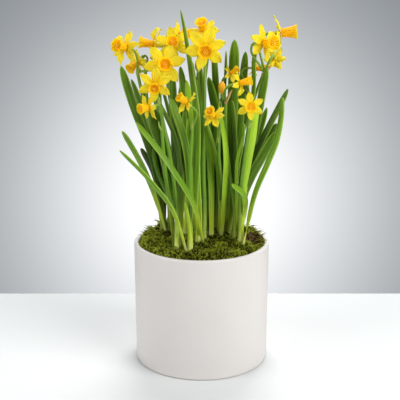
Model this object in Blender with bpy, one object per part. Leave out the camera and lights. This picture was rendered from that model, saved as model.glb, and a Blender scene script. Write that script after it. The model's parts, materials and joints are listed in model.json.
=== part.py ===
"""Miniature daffodils in a plain round ceramic pot, with moss over the soil.

Units in the tables are millimetres; meshes are written in metres, +Z up.
The origin is the middle of the pot's foot. The front of the pot faces -Y.
"""

import math
import random

import bmesh
import bpy
import numpy as np

MM = 0.001

# Pot
POT_RIM_RADIUS = 82.5
POT_FOOT_RADIUS = 82.0
POT_HEIGHT = 148.0
POT_WALL = 5.5
POT_FLOOR = 6.0
POT_EDGE = 1.2
POT_SIDES = 40

# Soil and moss
FIT_GAP = 0.3
SHOOT_HOLE_GAP = 0.4
BULB_BED_HEADROOM = 0.5
SOIL_TOP = 139.0
SOIL_SIDES = 32
MOSS_SECTORS = 36
MOSS_RINGS = 7
MOSS_EDGE_HEIGHT = 145.5
MOSS_CROWN = 9.0

# Ripples over the moss: height, turns per millimetre along x and y, and where they start
MOSS_RIPPLE = (0.8, 0.31, 0.27, 1.0)
MOSS_GRAIN = (0.5, 0.5, 0.4)

# Cushions of moss: x, y, radius, height
MOSS_CUSHIONS = (
    (-62, -14, 15, 5), (-66, 22, 14, 7), (-50, 46, 20, 11), (-12, 66, 16, 8), (30, 62, 17, 7),
    (62, 34, 15, 7), (69, 2, 12, 8), (58, -38, 13, 3), (26, -60, 17, 4), (6, -62, 12, 3),
    (-14, -68, 11, 3), (-48, -46, 14, 4), (20, -42, 13, 3), (-52, 6, 12, 3), (66, -18, 9, -3),
)

# Bulbs, under the soil: radius and height of each turn of the profile
BULB_SIDES = 8
BULB_PROFILE = ((5.0, 76.0), (12.2, 86.0), (10.5, 99.0), (4.0, 112.0))
BULB_TURN = 0.3

# Shoots: where each one stands in the moss, and the sheath round its foot
SHEATH_LEAN = 0.25
SHEATH_TOP = 188.0
SHEATH_RADIUS = 5.2
SHEATH_TOP_RADIUS = 3.2
SHEATH_SIDES = 7
SHEATH_BEND = SOIL_TOP + 0.5 * FIT_GAP
SHOOTS = {
    "A0": (-47, 29), "A1": (-39, 20),
    "B0": (-29, -49), "B1": (-13, -50),
    "C0": (-4, -36), "C1": (3, -21),
    "D0": (12, -5), "D1": (22, 3), "D2": (31, 4), "D3": (16, 27),
    "E0": (46, -29), "E1": (40, -19),
    "F0": (44, 24), "F1": (50, 38),
    "G0": (-22, 2), "G1": (-24, 15),
    "H0": (-8, 44), "H1": (2, 53),
}

# Nothing slides that is less than this far above its sheath
FIXED_HEIGHT = 4.0

# Leaves: one whose first place is well above its sheath also passes the sheath's top
LEAF_START = 168.0
LEAF_SPREAD = 2.2
LEAF_RISE = 14.0
LEAF_FOLLOW = 0.05
LEAF_THICKNESS = 1.5
LEAF_CHANNEL = 0.07
LEAF_FRACTIONS = (0.0, 0.18, 0.36, 0.54, 0.71, 0.86, 0.96, 1.0)
LEAF_WIDTHS = ((0.0, 0.6), (0.2, 0.82), (0.45, 1.0), (0.75, 0.98), (0.88, 0.86), (0.96, 0.55), (1.0, 0.0))

# Each leaf: shoot, width, turn of its face from the front and twist to the tip in degrees, places
LEAVES = (
    ("A0", 11, 0, 0, ((-62, 12, 258), (-83, 4, 320), (-94, 0, 360))),
    ("A0", 10.5, 30, 20, ((-54, 26, 243), (-71, 22, 303), (-84, 18, 343))),
    ("A1", 8, 55, -5, ((-55, 14, 195), (-71, 6, 237), (-94, -4, 284))),
    ("A1", 8, 60, -15, ((-52, 24, 199), (-60, 22, 229), (-74, 20, 259))),
    ("A0", 11, -20, 10, ((-51, 36, 228), (-60, 38, 278), (-72, 40, 325))),
    ("B0", 9.5, 45, 15, ((-26, -36, 226), (-29, -26, 271), (-52, -12, 325))),
    ("B0", 10, -35, -15, ((-21, -26, 230), (-23, -18, 276), (-37, -8, 324))),
    ("B0", 9.5, -45, -10, ((-36, -34, 207), (-45, -22, 253), (-63, -12, 303))),
    ("B1", 9.5, 45, 15, ((-25, -56, 188), (-58, -68, 238), (-92, -62, 272))),
    ("B1", 10, -30, 5, ((-13, -44, 216), (-17, -36, 267), (-34, -26, 325))),
    ("B1", 8, 65, -15, ((-15, -52, 176), (-19, -56, 210))),
    ("B1", 8.5, -55, -5, ((-14, -38, 208), (-15, -34, 255), (-16, -30, 303))),
    ("C0", 11, 10, 65, ((-8, -42, 215), (-5, -36, 291), (-15, -13, 370), (-24, -4, 424))),
    ("C1", 10, -40, 0, ((-11, -50, 212), (-36, -62, 256), (-73, -56, 303))),
    ("C1", 10, 35, -15, ((-4, -26, 218), (-9, -18, 288), (-18, -4, 344))),
    ("D0", 10.5, 30, 5, ((10, 0, 224), (17, 6, 307), (14, 8, 378))),
    ("D0", 10, -35, 15, ((12, -12, 214), (8, -12, 275), (-2, 2, 320))),
    ("D1", 8, 55, -10, ((21, -6, 213), (17, -16, 251), (5, -30, 299))),
    ("D1", 9, -45, -15, ((27, -8, 201), (29, -20, 264), (20, -28, 317))),
    ("D1", 10.5, 30, 15, ((22, 10, 221), (20, 14, 282), (8, 12, 346))),
    ("D2", 13, 0, 10, ((34, 10, 209), (37, 20, 293), (39, 22, 389))),
    ("D2", 7.5, 75, -15, ((29, 16, 220), (27, 22, 305), (29, 20, 376))),
    ("D2", 10, 35, -5, ((37, -6, 213), (38, -10, 262), (35, -8, 321))),
    ("D2", 11, -25, 20, ((39, 20, 206), (47, 34, 291), (53, 36, 374))),
    ("E0", 10, 40, 0, ((56, -38, 202), (75, -46, 254), (86, -44, 284), (92, -34, 328))),
    ("E0", 12, 0, -20, ((51, -26, 218), (64, -30, 246), (86, -28, 287))),
    ("E0", 10, 35, 5, ((53, -10, 232), (74, -8, 280), (101, -4, 334))),
    ("E1", 8.5, -55, 15, ((52, -32, 197), (49, -44, 217), (34, -58, 232))),
    ("E1", 11, 25, -10, ((52, -2, 224), (66, 8, 295), (77, 10, 358))),
    ("E1", 8, 60, -15, ((54, 6, 235), (66, 14, 264), (79, 22, 306))),
    ("E1", 8, 55, 10, ((41, -20, 216), (41, -24, 253), (49, -30, 286))),
    ("E0", 10, -30, 10, ((51, -30, 231), (58, -36, 279), (63, -36, 327))),
    ("F0", 8, 60, -15, ((53, 26, 255), (62, 22, 329), (63, 14, 377), (70, 8, 400))),
    ("F0", 10.5, 30, -10, ((38, 44, 213), (43, 52, 288), (48, 56, 345))),
    ("F1", 10.5, -30, 15, ((53, 52, 225), (67, 62, 287), (77, 66, 322))),
    ("F1", 10, 40, 5, ((44, 60, 223), (55, 72, 298), (59, 78, 330))),
    ("G0", 10.5, 30, -20, ((-30, 8, 222), (-33, 10, 295), (-35, 8, 353))),
    ("G0", 11, -30, 0, ((-15, -2, 224), (-16, 2, 296), (-25, 8, 359))),
    ("G1", 9.5, 45, 20, ((-29, 20, 232), (-38, 24, 293), (-49, 28, 336))),
    ("G1", 7.5, 80, -5, ((-7, 14, 220), (-3, 12, 295), (-11, 8, 365))),
    ("H0", 10.5, 30, -15, ((-7, 48, 212), (-4, 54, 288), (-2, 60, 359))),
    ("H0", 10, -35, 10, ((-20, 56, 224), (-27, 68, 299), (-22, 76, 343))),
    ("H1", 10.5, 30, 15, ((4, 56, 224), (15, 66, 286), (17, 72, 346))),
    ("H1", 10, 40, -15, ((-35, 58, 223), (-53, 70, 286), (-55, 76, 333))),
    ("A0", 10, 75, -10, ((-52, 48, 220), (-58, 70, 285), (-60, 92, 322))),
    ("H0", 10, 15, 15, ((-14, 62, 220), (-18, 84, 280), (-16, 100, 318))),
    ("H1", 10.5, 60, 5, ((8, 64, 222), (20, 86, 284), (30, 98, 330))),
    ("F1", 10, 70, -20, ((56, 50, 220), (70, 66, 270), (84, 84, 300))),
    ("G0", 10, 20, 15, ((-18, -6, 215), (-22, -4, 262), (-20, 2, 308))),
    ("G1", 10, -25, 10, ((-34, 26, 215), (-46, 34, 262), (-58, 42, 304))),
    ("D0", 10, -15, 20, ((8, -4, 210), (4, 2, 255), (8, 10, 300))),
    ("D2", 9, 30, -20, ((33, 2, 205), (44, 6, 250), (50, 10, 292))),
    ("H1", 11, 10, 15, ((14, 50, 210), (24, 48, 262), (28, 44, 316))),
    ("F0", 10, -20, 20, ((54, 22, 205), (72, 24, 250), (92, 30, 288))),
    ("D3", 9, 20, 10, ((14, 24, 212), (16, 20, 262), (20, 18, 318))),
)

# Flowers: centre, compass turn from the front, tilt up, spread, trumpet length and mouth, roll
BLOOMS = {
    "01": ((-89, -5, 381), -35, 15, 43, 14, 16, 20),
    "02": ((-56, 22, 383), -80, 10, 45, 17, 14, 0),
    "03": ((-33, -8, 385), 0, 15, 44, 15, 15, 40),
    "04": ((-42, -28, 364), 5, 5, 50, 16, 16, 10),
    "05": ((-52, -50, 343), 0, -10, 41, 14, 13, 25),
    "06": ((4, -30, 382), 0, -10, 50, 16, 17, 14),
    "07": ((2, 25, 400), -20, 50, 40, 12, 15, 0),
    "08": ((-26, 30, 394), 60, 5, 36, 13, 12, 30),
    "09": ((-77, 25, 362), -40, -30, 36, 14, 13, 15),
    "10": ((-59, -68, 321), -50, -5, 32, 10, 12, 5),
    "11": ((-17, -60, 325), -60, 38, 30, 11, 11, 30),
    "12": ((13, -50, 309), -30, 35, 31, 11, 11, 0),
    "13": ((54, -55, 320), 0, 5, 33, 9, 13, 30),
    "14": ((43, -45, 345), 65, 15, 30, 12, 11, 10),
    "15": ((34, 0, 351), 50, 30, 25, 10, 9, 20),
    "17": ((71, -20, 387), 40, 5, 43, 15, 17, 35),
    "18": ((92, 10, 397), 85, 5, 42, 18, 17, 15),
    "19": ((87, 20, 366), 165, -25, 30, 12, 11, 0),
    "20": ((64, 25, 355), 70, 0, 28, 12, 10, 25),
}

# Closed buds: foot, compass turn, tilt up, width, length
BUDS = {
    "16": ((23, -20, 330), 10, 78, 9, 15),
    "21": ((-4, -9, 369), 0, -78, 8, 16),
}

# Scapes: shoot, foot radius, places up to the fork, flowers on it
SCAPES = (
    ("A1", 2.6, ((-51, 16, 220), (-67, 14, 306), (-76, 12, 352)), ("01", "04")),
    ("G1", 2.6, ((-31, 22, 231), (-38, 30, 316), (-46, 30, 362)), ("02", "03", "08")),
    ("B0", 2.4, ((-31, -46, 224), (-41, -40, 287), (-49, -33, 322)), ("05",)),
    ("C1", 3.4, ((2, -24, 229), (3, -18, 311), (4, -7, 360)), ("06",)),
    ("H0", 2.5, ((-2, 46, 226), (3, 44, 327), (7, 41, 364)), ("07",)),
    ("A1", 2.4, ((-56, 32, 254), (-67, 37, 320), (-68, 39, 350)), ("09",)),
    ("B0", 2.2, ((-36, -52, 211), (-43, -52, 268), (-45, -50, 298)), ("10",)),
    ("B1", 2.2, ((-13, -50, 212), (-12, -48, 270), (-10, -48, 298)), ("11",)),
    ("D1", 2.2, ((24, -14, 215), (20, -28, 262), (20, -33, 280)), ("12",)),
    ("E0", 2.2, ((46, -30, 219), (51, -37, 268), (54, -38, 298)), ("13",)),
    ("E1", 2.5, ((34, -18, 228), (28, -16, 290), (28, -14, 322)), ("14", "15", "16")),
    ("F0", 2.6, ((43, 32, 229), (61, 24, 312), (74, 12, 352)), ("17", "18", "19")),
    ("F1", 2.2, ((52, 44, 226), (60, 42, 296), (56, 36, 330)), ("20",)),
    ("C1", 2.0, ((-1, -14, 227), (0, -10, 286), (-4, -4, 345)), ("21",)),
)
SCAPE_FOOT = (-1.0, 0.8, 2.0)
SCAPE_FOLLOW = 0.06
SCAPE_STATIONS = 7
SCAPE_TOP_RADIUS = 1.9
STEM_SIDES = 5
STALK_RADIUS = 1.6
STALK_FRACTIONS = (0.0, 0.36, 0.7, 1.0)

# A stalk's bend: how far behind the ovary it is and how much lower, when its flower doesn't look up
STALK_RUN = 4.0
STALK_DROOP = 0.3
STEEP = 0.5

# A bend that would be nearer than this above the fork is moved halfway to it, back and up
STALK_RISE = 3.0
STALK_SET_BACK = 2.0
STALK_LEAST_RISE = 2.0

# A flower's own proportions, as shares of its radius
TUBE_SHARE = 0.5
TUBE_END_SHARE = 0.1
OVARY_SHARE = 0.3
OVARY_RADIUS_SHARE = 0.14
OVARY_WAIST = 0.6
OVARY_END_SHARE = 0.72
HUB_SHARE = 0.2
PETAL_THICKNESS = 1.3
PETAL_EDGES = ((0.37, 0.2), (0.62, 0.285), (0.84, 0.2))
OUTER_WHORL_DROP = 2.0
DROP_RUN = 0.2
PETALS = 6
PETAL_SEED = 100
TRUMPET_SEED = 300
TRUMPET_SIDES = 9
TRUMPET_PROFILE = ((0.0, 0.58), (0.75, 0.78), (1.0, 1.0))
TRUMPET_WALL = 1.1
TRUMPET_FRILL = 0.08

# How petals differ: turn in degrees, share of the flower's radius, curl and twist
PETAL_TURN = 4.0
PETAL_LENGTHS = (0.94, 1.03)
PETAL_CURLS = (-2.5, 2.0)
PETAL_TWIST = 0.9

# A closed bud: share of its length and of its radius; and the neck that it hangs from
BUD_PROFILE = ((0.0, 0.45), (0.3, 0.85), (0.6, 1.0), (0.85, 0.65), (1.0, 0.2))
BUD_NECK = 4.0
BUD_NECK_RADIUS = 2.0

# The front of the object is seen from here; crossing strands are set apart along these lines
EYE = np.array((-2.0, -960.0, 446.0))
CLEARANCE = 1.0
SIDE_MARGIN = 0.7
NEAR_DEPTH = 7.0
LONGEST_PUSH = 6.0
PUSH_SHARE = 0.6
EASE_SHARE = 0.07
SETTLE_ROUNDS = 400
SAMPLE_STEP = 4.0

# Numbers that tell flowers from plants, and one pair of strands from another
FLOWER_MARK = 1000
PAIR_SPAN = 5000

# Points that stand for a flower while depths settle: share of its size, and reach
PETAL_PROBES = ((0.36, 0.2), (0.62, 0.27), (0.86, 0.2))
PETAL_PROBE_DEPTH = 1.8
TRUMPET_PROBES = ((0.5, 0.55), (1.0, 0.8))
TRUMPET_PROBE_REACH = 0.12
TRUMPET_PROBE_DEPTH = 2.0
TUBE_PROBES = (0.0, 0.5, 1.0)
TUBE_PROBE_REACH = 0.17
BUD_PROBES = (0.0, 0.35, 0.7, 1.0)
BUD_PROBE_MARGIN = 1.5

# Faces that meet flatter than this are merged after a Boolean
FLAT_ANGLE = math.radians(0.3)

# Colours as linear light, with roughness
FINISHES = {
    "ceramic": ((0.72, 0.70, 0.67), 0.55),
    "soil": ((0.035, 0.022, 0.014), 0.95),
    "moss": ((0.16, 0.19, 0.035), 0.95),
    "bulb_skin": ((0.20, 0.10, 0.045), 0.6),
    "leaf": ((0.09, 0.20, 0.05), 0.45),
    "petal": ((0.88, 0.66, 0.03), 0.5),
    "trumpet": ((0.90, 0.36, 0.01), 0.5),
}


def unit(vector):
    """Return the vector at length one."""
    vector = np.asarray(vector, float)
    return vector / np.linalg.norm(vector)


def clear_scene():
    """Remove whatever the scene holds."""
    for item in list(bpy.data.objects):
        bpy.data.objects.remove(item, do_unlink=True)


def finish(name):
    """Return the named finish, made once."""
    material = bpy.data.materials.get(name)
    if material is None:
        colour, roughness = FINISHES[name]
        material = bpy.data.materials.new(name)
        material.use_nodes = True
        shader = material.node_tree.nodes["Principled BSDF"]
        shader.inputs["Base Color"].default_value = (*colour, 1.0)
        shader.inputs["Roughness"].default_value = roughness
        shader.inputs["Metallic"].default_value = 0.0
    return material


def make_object(name, shape, material, smooth=60.0):
    """Make one closed object from corners in millimetres and faces."""
    corners, faces = shape
    mesh = bpy.data.meshes.new(name)
    mesh.from_pydata([tuple(float(v) * MM for v in corner) for corner in corners], [], faces)
    work = bmesh.new()
    work.from_mesh(mesh)
    bmesh.ops.recalc_face_normals(work, faces=work.faces)
    work.to_mesh(mesh)
    work.free()
    item = bpy.data.objects.new(name, mesh)
    bpy.context.scene.collection.objects.link(item)
    mesh.materials.append(finish(material))
    mesh.shade_smooth()
    mesh.set_sharp_from_angle(angle=math.radians(smooth))
    return item


def combine(target, shapes, operation, solver="EXACT"):
    """Join the shapes to the target, or cut them out of it, with one Boolean."""
    tools = bpy.data.collections.new(target.name + "_tools")
    bpy.context.scene.collection.children.link(tools)
    for index, shape in enumerate(shapes):
        tool = make_object(f"{target.name}_tool_{index}", shape, target.data.materials[0].name)
        bpy.context.scene.collection.objects.unlink(tool)
        tools.objects.link(tool)
        tool.hide_render = True
        tool.display_type = "WIRE"
    boolean = target.modifiers.new("combine", "BOOLEAN")
    boolean.operation = operation
    boolean.operand_type = "COLLECTION"
    boolean.collection = tools
    boolean.solver = solver
    graph = bpy.context.evaluated_depsgraph_get()
    result = bpy.data.meshes.new_from_object(target.evaluated_get(graph))
    target.modifiers.remove(boolean)
    target.data = result
    for tool in list(tools.objects):
        bpy.data.objects.remove(tool, do_unlink=True)
    bpy.data.collections.remove(tools)
    tidy_mesh(target)


def tidy_mesh(item):
    """Merge the flat slivers that a Boolean leaves, and split every face into triangles."""
    work = bmesh.new()
    work.from_mesh(item.data)
    bmesh.ops.dissolve_limit(work, angle_limit=FLAT_ANGLE, verts=work.verts, edges=work.edges)
    bmesh.ops.triangulate(work, faces=work.faces)
    work.to_mesh(item.data)
    work.free()


def lathe(profile, sides, centre=(0.0, 0.0), turn=0.0):
    """Return a closed turned shape from radius and height pairs, foot first."""
    corners = []
    for radius, height in profile:
        for side in range(sides):
            angle = turn + 2.0 * math.pi * side / sides
            corners.append((centre[0] + radius * math.cos(angle), centre[1] + radius * math.sin(angle), height))
    return corners, band_faces(len(profile), sides)


def band_faces(rings, sides):
    """Return the quads between rings, and a cap at each end."""
    faces = []
    for ring in range(rings - 1):
        for side in range(sides):
            after = (side + 1) % sides
            low, high = ring * sides, (ring + 1) * sides
            faces.append((low + side, low + after, high + after, high + side))
    faces.append(tuple(range(sides)))
    faces.append(tuple(range((rings - 1) * sides, rings * sides)))
    return faces


def smooth_path(places, fractions):
    """Return places at the given fractions of the smooth curve through the given places."""
    places = np.asarray(places, float)
    steps = np.linalg.norm(np.diff(places, axis=0), axis=1)
    slopes = np.diff(places, axis=0) / steps[:, None]
    tangents = np.empty_like(places)
    tangents[0] = slopes[0]
    tangents[-1] = slopes[-1]
    for k in range(1, len(places) - 1):
        before, after = steps[k - 1], steps[k]
        tangents[k] = (slopes[k - 1] * after + slopes[k] * before) / (before + after)
    dense = []
    for k, step in enumerate(steps):
        for t in np.linspace(0.0, 1.0, 20, endpoint=False):
            h01 = t * t * (3.0 - 2.0 * t)
            h10 = t * (1.0 - t) ** 2
            h11 = t * t * (t - 1.0)
            dense.append(places[k] * (1.0 - h01) + places[k + 1] * h01
                         + step * (h10 * tangents[k] + h11 * tangents[k + 1]))
    dense.append(places[-1])
    dense = np.array(dense)
    run = np.concatenate(([0.0], np.cumsum(np.linalg.norm(np.diff(dense, axis=0), axis=1))))
    wanted = np.asarray(fractions) * run[-1]
    return np.stack([np.interp(wanted, run, dense[:, axis]) for axis in range(3)], axis=1)


def facing(turn, tilt):
    """Return the direction for a compass turn from the front and a tilt up, in degrees."""
    turn, tilt = math.radians(turn), math.radians(tilt)
    return np.array((math.sin(turn) * math.cos(tilt), -math.cos(turn) * math.cos(tilt), math.sin(tilt)))


class Strand:
    """One blade or stem: stations on its middle line, and what each station moves with."""

    def __init__(self, plant, stations, movers, own=None):
        self.plant = plant
        self.stations = np.asarray(stations, float)
        self.movers = list(movers)
        self.own = own
        self.widths = np.zeros(len(self.stations))
        self.turns = np.zeros(len(self.stations))
        self.thickness = 0.0


class Flower:
    """One flower or bud: where it sits, which way it looks, and how big it is."""

    def __init__(self, name, centre, turn, tilt, spread, length, mouth, roll, mover):
        self.name = name
        self.centre = np.asarray(centre, float)
        self.axis = facing(turn, tilt)
        up = np.array((0.0, 0.0, 1.0))
        self.up = unit(up - self.axis * np.dot(up, self.axis))
        self.right = np.cross(self.up, self.axis)
        self.radius = spread / 2.0
        self.length = length
        self.mouth = mouth / 2.0
        self.roll = math.radians(roll)
        self.mover = mover
        self.bud = name in BUDS
        self.tube = 0.0 if self.bud else TUBE_SHARE * self.radius
        self.ovary = BUD_NECK if self.bud else OVARY_SHARE * self.radius
        self.ovary_radius = BUD_NECK_RADIUS if self.bud else OVARY_RADIUS_SHARE * self.radius

    def place(self, x, y, z):
        """Return the world place of a point in the flower's own frame."""
        return self.centre + self.right * x + self.up * y + self.axis * z

    def ring_place(self, angle, radius, z):
        """Return the world place of a point round the flower's axis."""
        return self.place(radius * math.cos(angle), radius * math.sin(angle), z)


class Bouquet:
    """All leaves, stems and flowers, with their depths settled so that none crosses another."""

    def __init__(self):
        self.mover_count = 1
        self.flowers = {}
        self.leaves = []
        self.stems = []
        self.sheaths = []
        self.add_flowers()
        self.add_sheaths()
        self.add_leaves()
        self.add_stems()
        self.settle()

    def new_mover(self):
        """Return the number of a new free depth."""
        self.mover_count += 1
        return self.mover_count - 1

    def movers_for(self, stations):
        """Return a new free depth for each station above the sheath, and 0 for the rest."""
        return [0 if z < SHEATH_TOP + FIXED_HEIGHT else self.new_mover() for z in stations[:, 2]]

    def add_flowers(self):
        """Read the flowers and buds."""
        for name, sizes in BLOOMS.items():
            self.flowers[name] = Flower(name, *sizes, self.new_mover())
        for name, sizes in BUDS.items():
            self.flowers[name] = Flower(name, *sizes, 0, 0, self.new_mover())

    def add_sheaths(self):
        """Set out each shoot's sheath, from the bulb's top to above the moss."""
        for name, (x, y) in SHOOTS.items():
            foot = bulb_centre(name[0])
            top = BULB_PROFILE[-1][1] + FIT_GAP
            start = (foot[0] + SHEATH_LEAN * (x - foot[0]), foot[1] + SHEATH_LEAN * (y - foot[1]), top)
            strand = Strand(name[0], (start, (x, y, SHEATH_BEND), (x, y, SHEATH_TOP)), (0, 0, 0))
            strand.widths[:] = 2.0 * SHEATH_RADIUS
            strand.thickness = 2.0 * SHEATH_RADIUS
            self.sheaths.append(strand)

    def add_leaves(self):
        """Set out each leaf from inside its sheath to its tip."""
        shares, widths = zip(*LEAF_WIDTHS)
        for shoot, width, turn, twist, places in LEAVES:
            x, y = SHOOTS[shoot]
            lean = unit((places[0][0] - x, places[0][1] - y + 0.01))
            foot = np.array((x + LEAF_SPREAD * lean[0], y + LEAF_SPREAD * lean[1], LEAF_START))
            path = [foot]
            if places[0][2] > SHEATH_TOP + LEAF_RISE:
                path.append((foot[0] + LEAF_FOLLOW * (places[0][0] - x),
                             foot[1] + LEAF_FOLLOW * (places[0][1] - y), SHEATH_TOP))
            path.extend(places)
            stations = smooth_path(path, LEAF_FRACTIONS)
            strand = Strand(shoot[0], stations, self.movers_for(stations))
            strand.widths = width * np.interp(LEAF_FRACTIONS, shares, widths)
            strand.turns = np.radians(turn + twist * np.array(LEAF_FRACTIONS))
            strand.thickness = LEAF_THICKNESS
            self.leaves.append(strand)

    def add_stems(self):
        """Set out each scape to its fork, and from there a stalk to each flower."""
        for shoot, radius, places, names in SCAPES:
            x, y = SHOOTS[shoot]
            foot = (x + SCAPE_FOOT[0], y + SCAPE_FOOT[1], LEAF_START + SCAPE_FOOT[2])
            path = [foot, (x + SCAPE_FOLLOW * (places[0][0] - x), y + SCAPE_FOLLOW * (places[0][1] - y),
                           SHEATH_TOP + SCAPE_FOOT[2])]
            path.extend(places)
            fractions = np.linspace(0.0, 1.0, SCAPE_STATIONS)
            stations = smooth_path(path, fractions)
            scape = Strand(shoot[0], stations, self.movers_for(stations))
            scape.widths = 2.0 * np.interp(fractions, (0.0, 1.0), (radius, SCAPE_TOP_RADIUS))
            scape.thickness = 2.0 * radius
            self.stems.append(scape)
            for name in names:
                self.add_stalk(scape, self.flowers[name])

    def add_stalk(self, scape, flower):
        """Set out the stalk from a fork to one flower; it swells to the ovary at its end."""
        fork = scape.stations[-1]
        end = flower.centre - flower.axis * (flower.tube + FIT_GAP)
        foot = end - flower.axis * flower.ovary
        bend = foot - flower.axis * STALK_RUN
        bend[2] -= STALK_DROOP * flower.ovary if flower.axis[2] < STEEP else 0.0
        if bend[2] < fork[2] + STALK_RISE:
            bend = 0.5 * (bend + fork) - flower.axis * STALK_SET_BACK
            bend[2] = max(bend[2], fork[2] + STALK_LEAST_RISE)
        stations = list(smooth_path((fork, bend, foot), STALK_FRACTIONS))
        stations += [end - flower.axis * OVARY_WAIST * flower.ovary, end]
        movers = [scape.movers[-1], self.new_mover(), self.new_mover()] + [flower.mover] * 3
        stalk = Strand(scape.plant, stations, movers, own=flower.name)
        swell = flower.ovary_radius
        stalk.widths = 2.0 * np.array([STALK_RADIUS] * 4 + [swell, OVARY_END_SHARE * swell])
        stalk.thickness = 2.0 * STALK_RADIUS
        self.stems.append(stalk)

    def samples(self):
        """Return sample points of every strand and flower, with their movers and reach."""
        rows = []
        for number, strand in enumerate(self.leaves + self.stems + self.sheaths):
            flat = number < len(self.leaves)
            plant = ord(strand.plant)
            own = plant if strand.own is None else FLOWER_MARK + int(strand.own)
            for k in range(len(strand.stations) - 1):
                start, end = strand.stations[k], strand.stations[k + 1]
                count = max(2, int(np.linalg.norm(end - start) / SAMPLE_STEP))
                for step in range(count):
                    share = step / count
                    width = strand.widths[k] * (1.0 - share) + strand.widths[k + 1] * share
                    turn = strand.turns[k] * (1.0 - share) + strand.turns[k + 1] * share
                    across = 0.5 * width * (abs(math.cos(turn)) if flat else 1.0) + SIDE_MARGIN
                    deep = 0.5 * width
                    if flat:
                        deep = 0.5 * width * abs(math.sin(turn)) + 0.5 * strand.thickness
                    rows.append((*(start + (end - start) * share), strand.movers[k], strand.movers[k + 1],
                                 share, across, deep, number, plant, own))
        for flower in self.flowers.values():
            sight = unit(flower.centre - EYE)
            edge = math.sqrt(max(0.0, 1.0 - np.dot(sight, flower.axis) ** 2))
            mark = FLOWER_MARK + int(flower.name)
            for x, y, z, reach, depth in flower_probes(flower):
                rows.append((*flower.place(x, y, z), flower.mover, flower.mover, 0.0, reach,
                             max(depth, reach * edge), mark, mark, mark))
        return np.array(rows)

    def settle(self):
        """Slide points along the lines of sight until crossing strands clear each other."""
        rows = self.samples()
        offset = rows[:, :3] - EYE
        depth = np.linalg.norm(offset, axis=1)
        sight = offset / depth[:, None]
        mover_a, mover_b = rows[:, 3].astype(int), rows[:, 4].astype(int)
        share, across, deep = rows[:, 5], rows[:, 6], rows[:, 7]
        number, plant, own = rows[:, 8].astype(int), rows[:, 9].astype(int), rows[:, 10].astype(int)
        first, second = [], []
        for i in range(len(rows) - 1):
            others = np.arange(i + 1, len(rows))
            near = np.linalg.norm(sight[others] - sight[i], axis=1) * depth[i] < across[others] + across[i]
            near &= (plant[others] != plant[i]) & (own[others] != own[i])
            hits = others[near]
            first.extend([i] * len(hits))
            second.extend(hits)
        first, second = np.array(first), np.array(second)
        gap = depth[first] - depth[second]
        side = np.sign(gap)
        key = number[first] * PAIR_SPAN + number[second]
        for pair in np.unique(key):
            close = (key == pair) & (np.abs(gap) < NEAR_DEPTH)
            if close.any():
                side[close] = 1.0 if gap[close].mean() >= 0.0 else -1.0
        need = deep[first] + deep[second] + CLEARANCE
        shift = np.zeros(self.mover_count)
        for _ in range(SETTLE_ROUNDS):
            moved = depth + shift[mover_a] * (1.0 - share) + shift[mover_b] * share
            short = np.clip(need - side * (moved[first] - moved[second]), 0.0, LONGEST_PUSH)
            push = np.zeros(len(rows))
            hits = np.zeros(len(rows))
            np.add.at(push, first, side * short)
            np.add.at(push, second, -side * short)
            np.add.at(hits, first, short > 0.0)
            np.add.at(hits, second, short > 0.0)
            push /= np.maximum(hits, 1.0)
            change = np.zeros(self.mover_count)
            weight = np.zeros(self.mover_count)
            active = (hits > 0.0).astype(float)
            np.add.at(change, mover_a, push * (1.0 - share))
            np.add.at(change, mover_b, push * share)
            np.add.at(weight, mover_a, active * (1.0 - share))
            np.add.at(weight, mover_b, active * share)
            shift += PUSH_SHARE * change / np.maximum(weight, 1.0)
            shift[0] = 0.0
            self.ease(shift)
        self.apply(shift)

    def ease(self, shift):
        """Spread each strand's change of depth a little along its length."""
        for strand in self.leaves + self.stems:
            movers = strand.movers
            values = shift[movers]
            for k in range(1, len(movers) - 1):
                if movers[k] > len(self.flowers):
                    shift[movers[k]] = ((1.0 - 2.0 * EASE_SHARE) * values[k]
                                        + EASE_SHARE * (values[k - 1] + values[k + 1]))

    def apply(self, shift):
        """Move every station and flower by its settled change of depth."""
        for flower in self.flowers.values():
            flower.slide = unit(flower.centre - EYE) * shift[flower.mover]
        flower_moves = {flower.mover: flower.slide for flower in self.flowers.values()}
        for strand in self.leaves + self.stems:
            for k, mover in enumerate(strand.movers):
                strand.stations[k] += flower_moves.get(mover, unit(strand.stations[k] - EYE) * shift[mover])
        for flower in self.flowers.values():
            flower.centre = flower.centre + flower.slide


def flower_probes(flower):
    """Return points that stand for a flower's solid: own x, y, z, reach and depth."""
    if flower.bud:
        wide = 0.5 * flower.radius + BUD_PROBE_MARGIN
        return [(0.0, 0.0, share * flower.length, wide, wide) for share in BUD_PROBES]
    probes = []
    for petal in range(PETALS):
        angle = flower.roll + 2.0 * math.pi * petal / PETALS
        drop = -OUTER_WHORL_DROP if petal % 2 else 0.0
        for share, reach in PETAL_PROBES:
            radius = share * flower.radius
            probes.append((radius * math.cos(angle), radius * math.sin(angle), 0.5 * drop,
                           reach * flower.radius, PETAL_PROBE_DEPTH))
    for step in range(PETALS):
        angle = 2.0 * math.pi * step / PETALS
        for share, radius in TRUMPET_PROBES:
            width = radius * flower.mouth
            probes.append((width * math.cos(angle), width * math.sin(angle), share * flower.length,
                           TRUMPET_PROBE_REACH * flower.radius, TRUMPET_PROBE_DEPTH))
    wide = TUBE_PROBE_REACH * flower.radius
    for share in TUBE_PROBES:
        probes.append((0.0, 0.0, -share * flower.tube, wide, wide))
    return probes


def bulb_centre(plant):
    """Return the middle of a plant's shoots, where its bulb sits."""
    spots = [spot for name, spot in SHOOTS.items() if name[0] == plant]
    return tuple(sum(values) / len(spots) for values in zip(*spots))


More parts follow.
